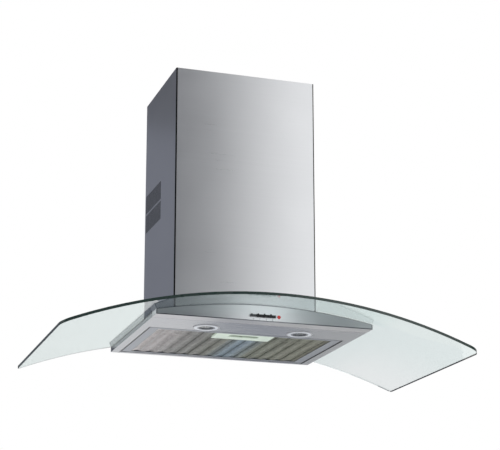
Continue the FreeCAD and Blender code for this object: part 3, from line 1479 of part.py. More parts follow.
switch_block()
for order, label in enumerate(("light_key", "low_speed_key", "medium_speed_key", "high_speed_key")):
    key(order, label)
pilot_lens()
switch_screws()

lamp("left", -1)
lamp("right", 1)
lamp_transformer()

blower_box()
scroll_half("left", -1)
scroll_half("right", 1)
impeller_disc()
impeller_blades()
impeller_rings()
motor_shaft()
motor()
motor_bracket()
motor_bushes()
motor_screws()
capacitor()
capacitor_clamp()
terminal_box_and_lid()
cable_gland()
outlet_collar()
flap_axle()
flap("left", -1)
flap("right", 1)
collar_screws()

chimney_cover()
upper_chimney()
upper_bracket()
upper_screws()
cover_brackets_and_screws()

filter_frame()
ribbed_mesh("filter_mesh_lower", f"({LATCH_LEVEL})")
ribbed_mesh("filter_mesh_upper", f"({LATCH_LEVEL} + dims.mesh_sheet + dims.mesh_gap)")
handle_plate()
filter_latch()
latch_spring()
handle_rivets()

doc.recompute()
for made in doc.Objects:
    if "Invalid" in made.State or "Error" in made.State:
        raise ValueError(f"{made.Name} failed: {made.State}")
for made in nodes:
    if made.Shape.isNull() or not made.Shape.isValid():
        raise ValueError(f"{made.Label} has no valid shape")

os.makedirs("parts", exist_ok=True)
for made in nodes:
    made.Shape.exportStep(os.path.join("parts", made.Label + ".step"))
    solids = len(made.Shape.Solids)
    print(f"{made.Label}: {solids} solid{'s' if solids > 1 else ''}, {made.Shape.Volume:.0f} mm3")
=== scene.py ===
import math

import bpy
import numpy as np
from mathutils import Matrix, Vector


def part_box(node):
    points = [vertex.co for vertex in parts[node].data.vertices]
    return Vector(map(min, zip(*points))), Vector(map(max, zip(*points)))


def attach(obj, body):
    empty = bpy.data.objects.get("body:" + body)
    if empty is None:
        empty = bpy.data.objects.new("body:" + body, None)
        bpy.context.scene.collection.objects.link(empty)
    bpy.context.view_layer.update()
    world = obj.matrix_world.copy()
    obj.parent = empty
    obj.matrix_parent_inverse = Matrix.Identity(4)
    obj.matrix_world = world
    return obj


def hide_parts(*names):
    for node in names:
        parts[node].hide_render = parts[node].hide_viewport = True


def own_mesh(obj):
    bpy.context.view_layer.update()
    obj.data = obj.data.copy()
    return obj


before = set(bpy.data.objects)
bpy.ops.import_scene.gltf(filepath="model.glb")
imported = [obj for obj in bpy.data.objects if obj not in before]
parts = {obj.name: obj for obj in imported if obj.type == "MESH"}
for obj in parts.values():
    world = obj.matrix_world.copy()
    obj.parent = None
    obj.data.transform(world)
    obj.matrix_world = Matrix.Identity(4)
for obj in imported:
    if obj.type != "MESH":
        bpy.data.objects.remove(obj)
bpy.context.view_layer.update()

scene = bpy.context.scene


# ---------------------------------------------------------------- the view
# The hood hangs over a cooktop and is looked up at from the left, from below the canopy. The camera's place,
# turn and focal length were fitted to corners of the glass, the tray and the chimney.

mm = 0.001
level = -140 * mm  # the canopy's underside below the wall fixing
photo_width, sensor_width = 500, 36  # pixels and millimetres
focal_length = 1579.43  # in pixels of the photograph
look_up, look_right = 14.699, 18.217  # degrees
eye = bpy.data.objects.new("eye", bpy.data.cameras.new("eye"))
eye.location = (-1.03697, -3.43982, -0.74142 + level)
eye.rotation_euler = (math.radians(90 + look_up), 0, math.radians(-look_right))
eye.data.lens = focal_length * sensor_width / photo_width
eye.data.shift_y = 0.1
scene.collection.objects.link(eye)
scene.camera = eye
scene.view_settings.view_transform = "Standard"


# ---------------------------------------------------------------- the studio
# A white room with a pale floor and two soft lamps. Grey screens that show only in reflections, and some of
# them through the glass, give the brushed sheet something darker to show beside the white.

def add(tree, kind, inputs=None, **fields):
    """A new node of a tree, its fields set and its inputs joined to a socket or set to a value."""
    made = tree.nodes.new("ShaderNode" + kind)
    for field, value in fields.items():
        setattr(made, field, value)
    for socket, value in (inputs or {}).items():
        if isinstance(value, bpy.types.NodeSocket):
            tree.links.new(value, made.inputs[socket])
        else:
            made.inputs[socket].default_value = value
    return made


def finish(name, **settings):
    """A new material with these values on its shader's own sockets, together with its tree and its shader."""
    made = bpy.data.materials.new(name)
    made.use_nodes = True
    shader = made.node_tree.nodes["Principled BSDF"]
    for socket, number in settings.items():
        shader.inputs[socket.replace("_", " ")].default_value = number
    return made, made.node_tree, shader


room = bpy.data.worlds.new("white_room")
room.use_nodes = True
scene.world = room
tree = room.node_tree
rays = add(tree, "LightPath").outputs
seen = add(tree, "Math", {0: rays["Is Camera Ray"], 1: rays["Is Glossy Ray"]}).outputs[0]
seen = add(tree, "Math", {0: seen, 1: rays["Is Transmission Ray"]}, use_clamp=True).outputs[0]
brightness = add(tree, "MapRange", {"Value": seen, "To Min": 0.85, "To Max": 1}).outputs["Result"]
air = tree.nodes["Background"]
air.inputs["Color"].default_value = (1, 1, 1, 1)
tree.links.new(brightness, air.inputs["Strength"])


def sheet_of_four(name, corners):
    """A flat four-sided plane through its corners."""
    data = bpy.data.meshes.new(name)
    data.from_pydata(corners, [], [(0, 1, 2, 3)])
    made = bpy.data.objects.new(name, data)
    scene.collection.objects.link(made)
    return made


reach, ground_level = 60, -1.6  # the floor's half width and its height, in metres
floor = sheet_of_four("floor", [
    (-reach, -reach, ground_level), (reach, -reach, ground_level),
    (reach, reach, ground_level), (-reach, reach, ground_level)])
paper, tree, shader = finish("floor_paper", Base_Color=(0.9, 0.9, 0.9, 1), Roughness=0.9)
from_below = add(tree, "NewGeometry").outputs["Backfacing"]
nothing = add(tree, "BsdfTransparent")
one_way = add(tree, "MixShader", {0: from_below, 1: shader.outputs[0], 2: nothing.outputs[0]})
tree.links.new(one_way.outputs[0], tree.nodes["Material Output"].inputs["Surface"])
floor.data.materials.append(paper)


def soft_lamp(name, place, aim, size, watts):
    """A square soft lamp that points from its place to its aim, and that no reflection shows."""
    lamp = bpy.data.objects.new(name, bpy.data.lights.new(name, "AREA"))
    lamp.data.size = size
    lamp.data.energy = watts
    lamp.location = place
    lamp.rotation_euler = (Vector(aim) - Vector(place)).to_track_quat("-Z", "Y").to_euler()
    lamp.visible_camera = False
    lamp.visible_glossy = False
    scene.collection.objects.link(lamp)


soft_lamp("lamp_right", (2.2, -3.0, 1.6), (0, -0.2, 0.1), 1.8, 30)
soft_lamp("lamp_left", (-2.6, -2.2, 0.4), (0, -0.2, -0.1), 2.0, 11)


def screen(name, grey, y, left, right, low, high, through_glass=False):
    """A glowing screen parallel to the wall that shows only in reflections, or through the glass as well."""
    made = sheet_of_four(name, [(left, y, low), (right, y, low), (right, y, high), (left, y, high)])
    shade = bpy.data.materials.new(name)
    shade.use_nodes = True
    shade.node_tree.nodes.clear()
    glow = add(shade.node_tree, "Emission", {"Color": (*grey, 1)})
    add(shade.node_tree, "OutputMaterial", {"Surface": glow.outputs[0]})
    made.data.materials.append(shade)
    made.visible_camera = False
    made.visible_diffuse = False
    made.visible_transmission = through_glass
    made.visible_shadow = False


in_front, behind, far_behind = -1.5, 0.9, 2  # where the screens stand, in metres from the wall's plane
foot, split, top = -1.5, -0.05, 3  # heights of the front screens, which the glass shows above the split
dark_grey = (0.13, 0.135, 0.15)
for name, grey, left, right in (
        ("screen_front_left", dark_grey, -4, 0.38),
        ("screen_front_bright", (1.45, 1.45, 1.45), 0.5, 0.95),
        ("screen_front_right", dark_grey, 1.05, 4)):
    screen(name + "_low", grey, in_front, left, right, foot, split)
    screen(name + "_high", grey, in_front, left, right, split, top, through_glass=True)
screen("screen_left", (0.2, 0.21, 0.25), behind, -4, -0.02, -0.1, 0.75)
screen("screen_left_high", (0.12, 0.125, 0.145), behind, -4, -0.02, 0.75, 3)
screen("screen_left_low", (0.24, 0.25, 0.28), behind, -4, -0.25, -0.8, -0.1)
screen("screen_behind", (0.3, 0.32, 0.36), far_behind, 0.6, 0.95, -1.4, -0.4)
screen("screen_behind_right", (0.44, 0.45, 0.45), far_behind, 0.95, 1.5, -1.4, -0.4)
screen("screen_far", (0.75, 0.78, 0.78), far_behind, -0.6, 0.6, -0.4, 0.05)


# ---------------------------------------------------------------- canopy tray and fascia
# The slim tray is folded from 1.2 mm stainless sheet and brushed along its length. The fascia, a strip with
# its ends and a flange turned back, closes its front. The grain shows as fine streaks. Shade is painted as
# dark lines along edges and gaps, and over the tray's side faces.

def new_group(name, inputs, outputs):
    """A node group with named sockets, each of a kind such as Float, Color or Vector."""
    tree = bpy.data.node_groups.new(name, "ShaderNodeTree")
    for direction, sockets in (("INPUT", inputs), ("OUTPUT", outputs)):
        for label, kind in sockets.items():
            tree.interface.new_socket(label, in_out=direction, socket_type="NodeSocket" + kind)
    return tree, tree.nodes.new("NodeGroupInput"), tree.nodes.new("NodeGroupOutput")


def math_of(tree, operation, a, b):
    """The sum, product or other result of two numbers or sockets."""
    return add(tree, "Math", {0: a, 1: b}, operation=operation).outputs[0]


def scaled(tree, value, low, high, bottom, top):
    """The values from low to high brought to the range from bottom to top."""
    return add(tree, "MapRange", {
        "Value": value, "From Min": low, "From Max": high, "To Min": bottom, "To Max": top}).outputs["Result"]


def ranged(tree, noise, bottom, top):
    """A noise, nearly all of which lies between 0.3 and 0.7, brought to a range of its own."""
    return scaled(tree, noise, 0.3, 0.7, bottom, top)


def mask(tree, value, black, white):
    """A mask that goes evenly from 0, where the value is at black, to 1, where it is at white."""
    return scaled(tree, value, black, white, 0, 1)


def tinted(tree, colour, amount):
    """A colour made lighter or darker by an amount round 1."""
    return add(tree, "VectorMath", {0: colour, "Scale": amount}, operation="SCALE").outputs[0]


def covered(tree, where, under, over, **fields):
    """A colour with another over it where the mask is white."""
    return add(tree, "Mix", {0: where, 6: under, 7: over}, data_type="RGBA", **fields).outputs[2]


brushing, given, result = new_group(
    "brushing", {"Colour": "Color", "Lines": "Vector", "Contrast": "Float", "Roughness": "Float"},
    {"Colour": "Color", "Roughness": "Float", "Height": "Float"})
place = add(brushing, "TexCoord").outputs["Object"]
apart = (5.37, 3.71, 1.13)  # keeps the middle of the hood off the noise's own lattice
drawn = {0: place, 1: given.outputs["Lines"], 2: apart}
drawn = add(brushing, "VectorMath", drawn, operation="MULTIPLY_ADD").outputs[0]
fine = add(brushing, "TexNoise", {"Vector": drawn, "Scale": 1, "Detail": 3, "Roughness": 0.65}).outputs[0]
broad = add(brushing, "TexNoise", {"Vector": drawn, "Scale": 0.17, "Detail": 1}).outputs[0]
clouds = add(brushing, "TexNoise", {"Vector": place, "Scale": 9, "Detail": 2}).outputs[0]
fine_share, broad_share = 0.7, 0.3
streaks = math_of(
    brushing, "ADD", math_of(brushing, "MULTIPLY", fine, fine_share),
    math_of(brushing, "MULTIPLY", broad, broad_share))
swing = math_of(brushing, "MULTIPLY", ranged(brushing, streaks, -1, 1), given.outputs["Contrast"])
shade = math_of(brushing, "ADD", swing, ranged(brushing, clouds, 0.985, 1.015))
rough = math_of(brushing, "ADD", given.outputs["Roughness"], ranged(brushing, streaks, -0.02, 0.02))
rough = math_of(brushing, "ADD", rough, ranged(brushing, clouds, -0.015, 0.015))
brushing.links.new(tinted(brushing, given.outputs["Colour"], shade), result.inputs["Colour"])
brushing.links.new(rough, result.inputs["Roughness"])
brushing.links.new(streaks, result.inputs["Height"])


def effect(tree, group, **values):
    """A group placed in a material with its own values."""
    made = tree.nodes.new("ShaderNodeGroup")
    made.node_tree = group
    for socket, value in values.items():
        made.inputs[socket].default_value = value
    return made


def relief(tree, shader, height, depth, normal=None):
    """Bumps of that depth in metres, on the surface's own normal or on a bent one."""
    inputs = {"Height": height, "Distance": depth, "Strength": 1}
    if normal is not None:
        inputs["Normal"] = normal
    tree.links.new(add(tree, "Bump", inputs).outputs[0], shader.inputs["Normal"])


def brushed(name, colour, lines, contrast, roughness, depth=0.004 * mm):
    """Brushed sheet, its streaks drawn out by the number of changes per metre along X, Y and Z."""
    made, tree, shader = finish(name, Metallic=1)
    grain = effect(tree, brushing, Colour=(*colour, 1), Lines=lines, Contrast=contrast, Roughness=roughness)
    tree.links.new(grain.outputs["Colour"], shader.inputs["Base Color"])
    tree.links.new(grain.outputs["Roughness"], shader.inputs["Roughness"])
    relief(tree, shader, grain.outputs["Height"], depth)
    return made, tree, shader, grain


def dress(material, *names):
    """Gives a material to sub-parts."""
    for name in names:
        for slot in parts[name].material_slots:
            slot.material = material


def place_along(tree):
    """The place in the object along X, Y and Z."""
    split = add(tree, "SeparateXYZ", {0: add(tree, "TexCoord").outputs["Object"]})
    return split.outputs["X"], split.outputs["Y"], split.outputs["Z"]


def place_from_middle(tree):
    """The place in the object: how far to either side of the hood's middle, and its Y and Z."""
    x, y, z = place_along(tree)
    return math_of(tree, "ABSOLUTE", x, 0), y, z


def seams(tree, shader, grain, *lines):
    """Puts colours over the brushed one, each where its two masks are both white."""
    colour = grain.outputs["Colour"]
    for over, a, b in lines:
        colour = covered(tree, math_of(tree, "MULTIPLY", a, b), colour, over)
    tree.links.new(colour, shader.inputs["Base Color"])


long_streaks = (2.5, 900, 900)
polished = 0.001 * mm
# Painted shade: a near-black for lines along gaps between parts, and a grey for the tray's side faces.
painted_gap_shade = (0.05, 0.052, 0.057, 1)
shaded_side = (0.3, 0.31, 0.33, 1)
half_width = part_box("canopy_tray")[1].x
recess_half, recess_front = 219 * mm, -278 * mm  # the opening that the grease filter sits in
canopy_steel, tree, shader, grain = brushed(
    "canopy_steel", (0.57, 0.58, 0.61), long_streaks, 0.02, 0.26, polished)
side, y, z = place_from_middle(tree)
# A painted shade line along the sides of the filter's recess.
recess_edge = math_of(
    tree, "MULTIPLY", mask(tree, side, recess_half - 0.5 * mm, recess_half - 0.2 * mm),
    mask(tree, side, recess_half + 1.6 * mm, recess_half + 1.3 * mm))
seams(
    tree, shader, grain,
    (shaded_side, mask(tree, side, half_width - 0.2 * mm, half_width - 0.1 * mm),
     mask(tree, z, level - 1 * mm, level)),
    (painted_gap_shade, mask(tree, side, half_width - 0.6 * mm, half_width - 0.3 * mm),
     mask(tree, z, level + 8 * mm, level + 8.4 * mm)),
    (painted_gap_shade, recess_edge, mask(tree, y, recess_front - 2 * mm, recess_front - 1 * mm)))
dress(canopy_steel, "canopy_tray")

fascia_low, fascia_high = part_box("front_fascia")
arch_radius = 1197 * mm  # of the glass, which the fascia's top edge follows
# Painted shade: dark lines along the fascia front's top edge under the glass, its lower fold and its two
# ends.
painted_edge_shade = (0.16, 0.165, 0.18, 1)
bow, turn = 1.3, 0.14  # the normal's lean to the right: per metre from the middle, and at the middle
fascia_steel, tree, shader, grain = brushed("fascia_steel", (0.63, 0.63, 0.65), long_streaks, 0.04, 0.34)
side, y, z = place_from_middle(tree)
on_front = mask(tree, y, fascia_low.y + 0.6 * mm, fascia_low.y + 0.3 * mm)
fall_of_arch = math_of(tree, "DIVIDE", math_of(tree, "MULTIPLY", side, side), 2 * arch_radius)
from_top = math_of(tree, "ADD", z, fall_of_arch)
seams(
    tree, shader, grain,
    (painted_edge_shade, on_front, mask(tree, from_top, fascia_high.z - 1.3 * mm, fascia_high.z - 0.9 * mm)),
    (painted_edge_shade, on_front, mask(tree, z, level + 2.4 * mm, level + 1.6 * mm)),
    (painted_edge_shade, on_front, mask(tree, side, half_width - 2.2 * mm, half_width - 1.4 * mm)))
across, _, _ = place_along(tree)
turned = math_of(tree, "ADD", math_of(tree, "MULTIPLY", across, bow), turn)
turned = add(tree, "CombineXYZ", {"X": turned}).outputs[0]
facing = add(tree, "VectorMath", {0: add(tree, "NewGeometry").outputs["Normal"], 1: turned}).outputs[0]
facing = add(tree, "VectorMath", {0: facing}, operation="NORMALIZE").outputs[0]
relief(tree, shader, grain.outputs["Height"], 0.004 * mm, facing)
dress(fascia_steel, "front_fascia")


# ---------------------------------------------------------------- top plate and blower box
# Hidden sheet is plain galvanised steel, folded and screwed, with the leafy spangle of its zinc. The top
# plate carries the glass and the blower box, whose back hangs on the wall.

spangle, given, result = new_group(
    "spangle", {"Colour": "Color", "Size": "Float"}, {"Colour": "Color", "Roughness": "Float"})
place = add(spangle, "TexCoord").outputs["Object"]
leaves = add(spangle, "TexVoronoi", {"Vector": place, "Scale": given.outputs["Size"]})
tone = add(spangle, "SeparateColor", {0: leaves.outputs["Color"]}).outputs[0]
mottle = add(spangle, "TexNoise", {"Vector": place, "Scale": 60, "Detail": 3}).outputs[0]
shade = math_of(spangle, "ADD", scaled(spangle, tone, 0, 1, 0.86, 1.06), ranged(spangle, mottle, -0.05, 0.05))
spangle.links.new(tinted(spangle, given.outputs["Colour"], shade), result.inputs["Colour"])
spangle.links.new(scaled(spangle, tone, 0, 1, 0.34, 0.52), result.inputs["Roughness"])

zinc, tree, shader = finish("zinc_sheet", Metallic=1)
leaf = effect(tree, spangle, Colour=(0.57, 0.59, 0.61, 1), Size=90)
tree.links.new(leaf.outputs["Colour"], shader.inputs["Base Color"])
tree.links.new(leaf.outputs["Roughness"], shader.inputs["Roughness"])
dress(zinc, "top_plate", "blower_box", "cover_brackets", "motor_bracket", "upper_bracket")


# ---------------------------------------------------------------- glass
# One sheet of 6 mm float glass, bent over a mould and toughened, its edges ground round and polished. It is
# clear through its faces and dark green along its edges. Six screws hold it through soft washers, on a soft
# strip.

wiped, given, result = new_group(
    "wiped", {"Clean": "Float", "Dull": "Float"}, {"Roughness": "Float", "Height": "Float"})
place = add(wiped, "TexCoord").outputs["Object"]
arcs = add(wiped, "TexNoise", {"Vector": place, "Scale": 14, "Detail": 3, "Distortion": 1.5}).outputs[0]
dust = add(wiped, "TexNoise", {"Vector": place, "Scale": 1400, "Detail": 1}).outputs[0]
film = scaled(wiped, arcs, 0.45, 0.75, given.outputs["Clean"], given.outputs["Dull"])
wiped.links.new(film, result.inputs["Roughness"])
wiped.links.new(dust, result.inputs["Height"])

face_tint, painted_light_clear, rear_line, painted_reflection_tint = (
    (0.9, 0.95, 0.945, 1), (1, 1, 1, 1), (0.82, 0.84, 0.84, 1), (0.79, 0.885, 0.875, 1))
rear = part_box("glass_canopy")[1].y
glass, tree, shader = finish("bent_glass", Base_Color=face_tint, IOR=1.5, Transmission_Weight=1)
x, y, _ = place_along(tree)
# Painted light: the right wing is made clearer, and so brighter, towards its rear.
right_rear = math_of(
    tree, "MULTIPLY", mask(tree, x, 240 * mm, 340 * mm), mask(tree, y, -330 * mm, -60 * mm))
# A painted reflection: the overhang in front of the fascia is tinted darker and greener across the hood's
# width.
before_fascia = math_of(
    tree, "MULTIPLY", mask(tree, math_of(tree, "ABSOLUTE", x, 0), 280 * mm, 210 * mm),
    mask(tree, y, fascia_low.y, fascia_low.y - 4 * mm))
body = covered(tree, right_rear, face_tint, painted_light_clear)
body = covered(tree, mask(tree, y, rear - 9 * mm, rear - 7 * mm), body, rear_line)
body = covered(tree, before_fascia, body, painted_reflection_tint)
tree.links.new(body, shader.inputs["Base Color"])
tree.links.new(effect(tree, wiped, Clean=0, Dull=0.02).outputs["Roughness"], shader.inputs["Roughness"])

ground_edge = add(tree, "BsdfPrincipled", {"Base Color": (0.018, 0.034, 0.03, 1)})
polish = effect(tree, wiped, Clean=0.2, Dull=0.34)
tree.links.new(polish.outputs["Roughness"], ground_edge.inputs["Roughness"])
relief(tree, ground_edge, polish.outputs["Height"], 0.01 * mm)
where = add(tree, "NewGeometry")
upward = add(tree, "SeparateXYZ", {0: where.outputs["Normal"]}).outputs["Z"]
steep = mask(tree, math_of(tree, "ABSOLUTE", upward, 0), 0.65, 0.55)
outside = math_of(tree, "SUBTRACT", 1, where.outputs["Backfacing"])
on_edge = math_of(tree, "MULTIPLY", steep, outside)
edged = add(tree, "MixShader", {0: on_edge, 1: shader.outputs[0], 2: ground_edge.outputs[0]})

pale_shadow = add(tree, "BsdfTransparent", {"Color": (0.88, 0.93, 0.92, 1)})
in_shadow = add(tree, "LightPath").outputs["Is Shadow Ray"]
lit = add(tree, "MixShader", {0: in_shadow, 1: edged.outputs[0], 2: pale_shadow.outputs[0]})
green = add(tree, "VolumeAbsorption", {"Color": (0.35, 0.62, 0.58, 1), "Density": 12})
out = tree.nodes["Material Output"]
tree.links.new(lit.outputs[0], out.inputs["Surface"])
tree.links.new(green.outputs[0], out.inputs["Volume"])
dress(glass, "glass_canopy")


moulding, given, result = new_group(
    "moulding", {"Colour": "Color", "Grain": "Float", "Roughness": "Float"},
    {"Colour": "Color", "Roughness": "Float", "Height": "Float"})
place = add(moulding, "TexCoord").outputs["Object"]
pits = add(moulding, "TexNoise", {"Vector": place, "Scale": given.outputs["Grain"], "Detail": 2}).outputs[0]
clouds = add(moulding, "TexNoise", {"Vector": place, "Scale": 30, "Detail": 2}).outputs[0]
shade = math_of(moulding, "ADD", ranged(moulding, clouds, 0.96, 1.04), ranged(moulding, pits, -0.04, 0.04))
rough = math_of(moulding, "ADD", given.outputs["Roughness"], ranged(moulding, clouds, -0.06, 0.06))
moulding.links.new(tinted(moulding, given.outputs["Colour"], shade), result.inputs["Colour"])
moulding.links.new(rough, result.inputs["Roughness"])
moulding.links.new(pits, result.inputs["Height"])


def moulded(name, colour, grain, roughness, depth=0.03 * mm, **settings):
    """Moulded plastic or rubber with a fine spark-eroded grain, of that many changes per metre."""
    made, tree, shader = finish(name, **settings)
    skin = effect(tree, moulding, Colour=(*colour, 1), Grain=grain, Roughness=roughness)
    tree.links.new(skin.outputs["Colour"], shader.inputs["Base Color"])
    tree.links.new(skin.outputs["Roughness"], shader.inputs["Roughness"])
    relief(tree, shader, skin.outputs["Height"], depth)
    return made


soft_rubber = moulded("soft_rubber", (0.035, 0.035, 0.038), 900, 0.75)
dress(soft_rubber, "glass_gasket", "glass_washers", "motor_bushes")
plated, _, _, _ = brushed("plated_screws", (0.72, 0.72, 0.7), (900, 900, 900), 0.08, 0.28)
dress(
    plated, "glass_screws", "switch_screws", "motor_screws", "collar_screws", "cover_screws", "upper_screws",
    "handle_rivets")


# ---------------------------------------------------------------- keys
# Four glossy black push keys slide in a block behind the fascia, each with a raised nub to find it by touch.
# A red lens beside them shows that the power is on. Small grey marks under the keys are printed on the steel.

glossy = 0.01 * mm
key_black = moulded("black_keys", (0.012, 0.012, 0.014), 1500, 0.22, glossy)
dress(key_black, "low_speed_key", "medium_speed_key", "high_speed_key")
dress(moulded("dark_key", (0.03, 0.031, 0.034), 1500, 0.3, glossy), "light_key")
dress(moulded("switch_block_silver", (0.5, 0.51, 0.53), 900, 0.35, Metallic=0.6), "switch_block")
faint_glow = {"Emission_Strength": 0.04, "Emission_Color": (0.8, 0.03, 0.02, 1)}
dress(moulded("red_lens", (0.5, 0.045, 0.04), 700, 0.25, glossy, **faint_glow), "pilot_lens")

mark_size, mark_bolder, mark_thickness = 5.6 * mm, 0.1 * mm, 0.03 * mm
mark_foot = level + 2.8 * mm
mark_face = fascia_low.y - 0.04 * mm
marks = []
for number, key in enumerate(("light_key", "low_speed_key", "medium_speed_key", "high_speed_key")):
    low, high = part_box(key)
    letter = bpy.data.curves.new(f"mark_{number}", "FONT")
    letter.body = "o" if number == 0 else str(number)
    letter.size = mark_size
    letter.offset = mark_bolder
    letter.align_x = "CENTER"
    letter.extrude = mark_thickness
    written = bpy.data.objects.new(f"mark_{number}", letter)
    scene.collection.objects.link(written)
    bpy.context.view_layer.update()
    shape = bpy.data.meshes.new_from_object(written)
    flat = np.empty(len(shape.vertices) * 3, np.float32)
    shape.vertices.foreach_get("co", flat)
    flat = flat.reshape(-1, 3)
    middle = (low.x + high.x) / 2
    stood_up = np.column_stack([flat[:, 0] + middle, mark_face - flat[:, 2], flat[:, 1] + mark_foot])
    shape.vertices.foreach_set("co", stood_up.ravel())
    bpy.data.objects.remove(written)
    mark = bpy.data.objects.new(f"key_mark_{number}", shape)
    scene.collection.objects.link(mark)
    marks.append(mark)
grey_ink = moulded("grey_ink", (0.2, 0.2, 0.22), 2500, 0.55, glossy)
for mark in marks:
    mark.data.materials.clear()
    mark.data.materials.append(grey_ink)
    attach(mark, "hood")


# ---------------------------------------------------------------- lamps
# Each lamp is a satin ring pressed through the underside, a heatproof glass, a spun aluminium cup and a small
# halogen capsule, fed from a potted transformer.

# Painted shade on the satin ring: grey round its outer edge, which also makes the ring look narrower, and
# dark down its bore.
painted_rim_shade, painted_bore_shade = (0.42, 0.43, 0.46, 1), (0.2, 0.21, 0.24, 1)
satin_ring, tree, shader = finish("satin_ring", Coat_Weight=0.3)
skin = effect(tree, moulding, Colour=(0.74, 0.78, 0.84, 1), Grain=1200, Roughness=0.28)
low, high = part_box("lamp_bezel_right")
side, y, _ = place_from_middle(tree)
from_axis = add(tree, "CombineXYZ", {
    "X": math_of(tree, "SUBTRACT", side, (low.x + high.x) / 2),
    "Y": math_of(tree, "SUBTRACT", y, (low.y + high.y) / 2)})
radius = add(tree, "VectorMath", {0: from_axis.outputs[0]}, operation="LENGTH").outputs["Value"]
ring_colour = covered(tree, mask(tree, radius, 25.2 * mm, 26.2 * mm), skin.outputs["Colour"], painted_rim_shade)
ring_colour = covered(tree, mask(tree, radius, 19.5 * mm, 18.5 * mm), ring_colour, painted_bore_shade)
tree.links.new(ring_colour, shader.inputs["Base Color"])
tree.links.new(skin.outputs["Roughness"], shader.inputs["Roughness"])
relief(tree, shader, skin.outputs["Height"], glossy)
dress(satin_ring, "lamp_bezel_left", "lamp_bezel_right")

lens, tree, shader = finish("lamp_glass", Base_Color=(0.9, 0.95, 0.96, 1), IOR=1.47, Transmission_Weight=1)
pressed = effect(tree, wiped, Clean=0.05, Dull=0.12)
tree.links.new(pressed.outputs["Roughness"], shader.inputs["Roughness"])
relief(tree, shader, pressed.outputs["Height"], 0.02 * mm)
dress(lens, "lamp_lens_left", "lamp_lens_right")
cup, _, _, _ = brushed("spun_cup", (0.45, 0.46, 0.49), (300, 300, 1200), 0.1, 0.22)
dress(cup, "lamp_cup_left", "lamp_cup_right")
capsule = moulded("capsule", (0.85, 0.86, 0.84), 800, 0.15, glossy, Transmission_Weight=0.6)
dress(capsule, "lamp_bulb_left", "lamp_bulb_right")
dress(moulded("white_case", (0.8, 0.8, 0.77), 700, 0.45), "lamp_transformer", "capacitor")


# ---------------------------------------------------------------- blower
# A double-inlet wheel of pressed steel blades turns on the motor's shaft in a black moulded scroll of two
# halves. A small grey box with a lid and a cable gland is for the mains terminals.

dress(moulded("scroll_black", (0.03, 0.03, 0.033), 500, 0.5), "scroll_left", "scroll_right")
dress(zinc, "impeller_disc", "impeller_blades", "impeller_rings")
ground, _, _, _ = brushed("ground_shaft", (0.62, 0.62, 0.63), (1500, 60, 60), 0.1, 0.2)
dress(ground, "motor_shaft", "flap_axle", "capacitor_clamp")
dress(moulded("grey_enamel", (0.16, 0.165, 0.18), 400, 0.35, Coat_Weight=0.2), "motor")
dress(moulded("terminal_grey", (0.11, 0.11, 0.12), 700, 0.5), "terminal_box", "terminal_lid", "cable_gland")


# ---------------------------------------------------------------- outlet
# The collar on top of the blower box and its two non-return flaps are moulded in pale grey plastic. The flaps
# turn on a steel pin across it.

dress(moulded("pale_plastic", (0.62, 0.63, 0.62), 600, 0.42), "outlet_collar", "flap_left", "flap_right")


# ---------------------------------------------------------------- chimney
# Two covers folded from 1 mm stainless sheet, brushed across, one sliding inside the other. A dark line
# of painted shade runs down both front corners.

def chimney_finish(name, half, front):
    """Brushed steel outside, with shade painted dark inside the cover and its slots and as a line down the
    two front folds.
    """
    # Painted shade: near-black inside the cover and its slots, and dark lines down the two front folds.
    inside, painted_corner_shade = (0.05, 0.051, 0.054, 1), (0.02, 0.021, 0.023, 1)
    below_face = 0.1 * mm, 0.2 * mm
    on_front, on_side = (3.2 * mm, 2.8 * mm), (2.4 * mm, 2 * mm)  # where the line fades out on the two faces
    made, tree, shader, grain = brushed(name, (0.7, 0.71, 0.725), (2.5, 2.5, 900), 0.018, 0.3, polished)
    side, y, _ = place_from_middle(tree)
    from_side = math_of(tree, "SUBTRACT", half, side)
    from_front = math_of(tree, "SUBTRACT", y, front)
    seams(
        tree, shader, grain,
        (inside, mask(tree, from_side, *below_face), mask(tree, from_front, *below_face)),
        (painted_corner_shade, mask(tree, from_side, *on_front), mask(tree, from_front, *on_side)))
    return made


for name, cover in (("chimney_steel", "chimney_cover"), ("upper_chimney_steel", "upper_chimney")):
    low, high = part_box(cover)
    dress(chimney_finish(name, high.x, low.y), cover)


# ---------------------------------------------------------------- grease filter
# An aluminium frame folded round layers of expanded aluminium mesh, which is pressed into ribs from front to
# rear. A plastic plate at its front has the finger slot and carries the sliding latch and its coil spring.

aluminium, _, _, _ = brushed("filter_aluminium", (0.42, 0.44, 0.48), (500, 14, 500), 0.07, 0.38)
dress(aluminium, "filter_frame")


def mesh_from(name, points, quads):
    """A mesh object from an array of points and an array of four-sided faces."""
    data = bpy.data.meshes.new(name)
    data.vertices.add(len(points))
    data.vertices.foreach_set("co", points.astype(np.float32).ravel())
    data.loops.add(quads.size)
    data.loops.foreach_set("vertex_index", quads.astype(np.int32).ravel())
    data.polygons.add(len(quads))
    data.polygons.foreach_set("loop_start", np.arange(0, quads.size, 4, dtype=np.int32))
    data.update(calc_edges=True)
    data.validate()
    made = bpy.data.objects.new(name, data)
    scene.collection.objects.link(made)
    return made


rib_pitch, rib_count = 28 * mm, 14


def rib_height(x):
    """Flats at the bottom and the top of each rib with even slopes between them, through a row of points."""
    along = np.mod(x + rib_count * rib_pitch / 2, rib_pitch)
    corners, heights = np.array([0, 4.2, 9.8, 18.2, 23.8, 28]) * mm, np.array([0, 0, 2.4, 2.4, 0, 0]) * mm
    return np.where(np.abs(x) < rib_count * rib_pitch / 2, np.interp(along, corners, heights), 0)


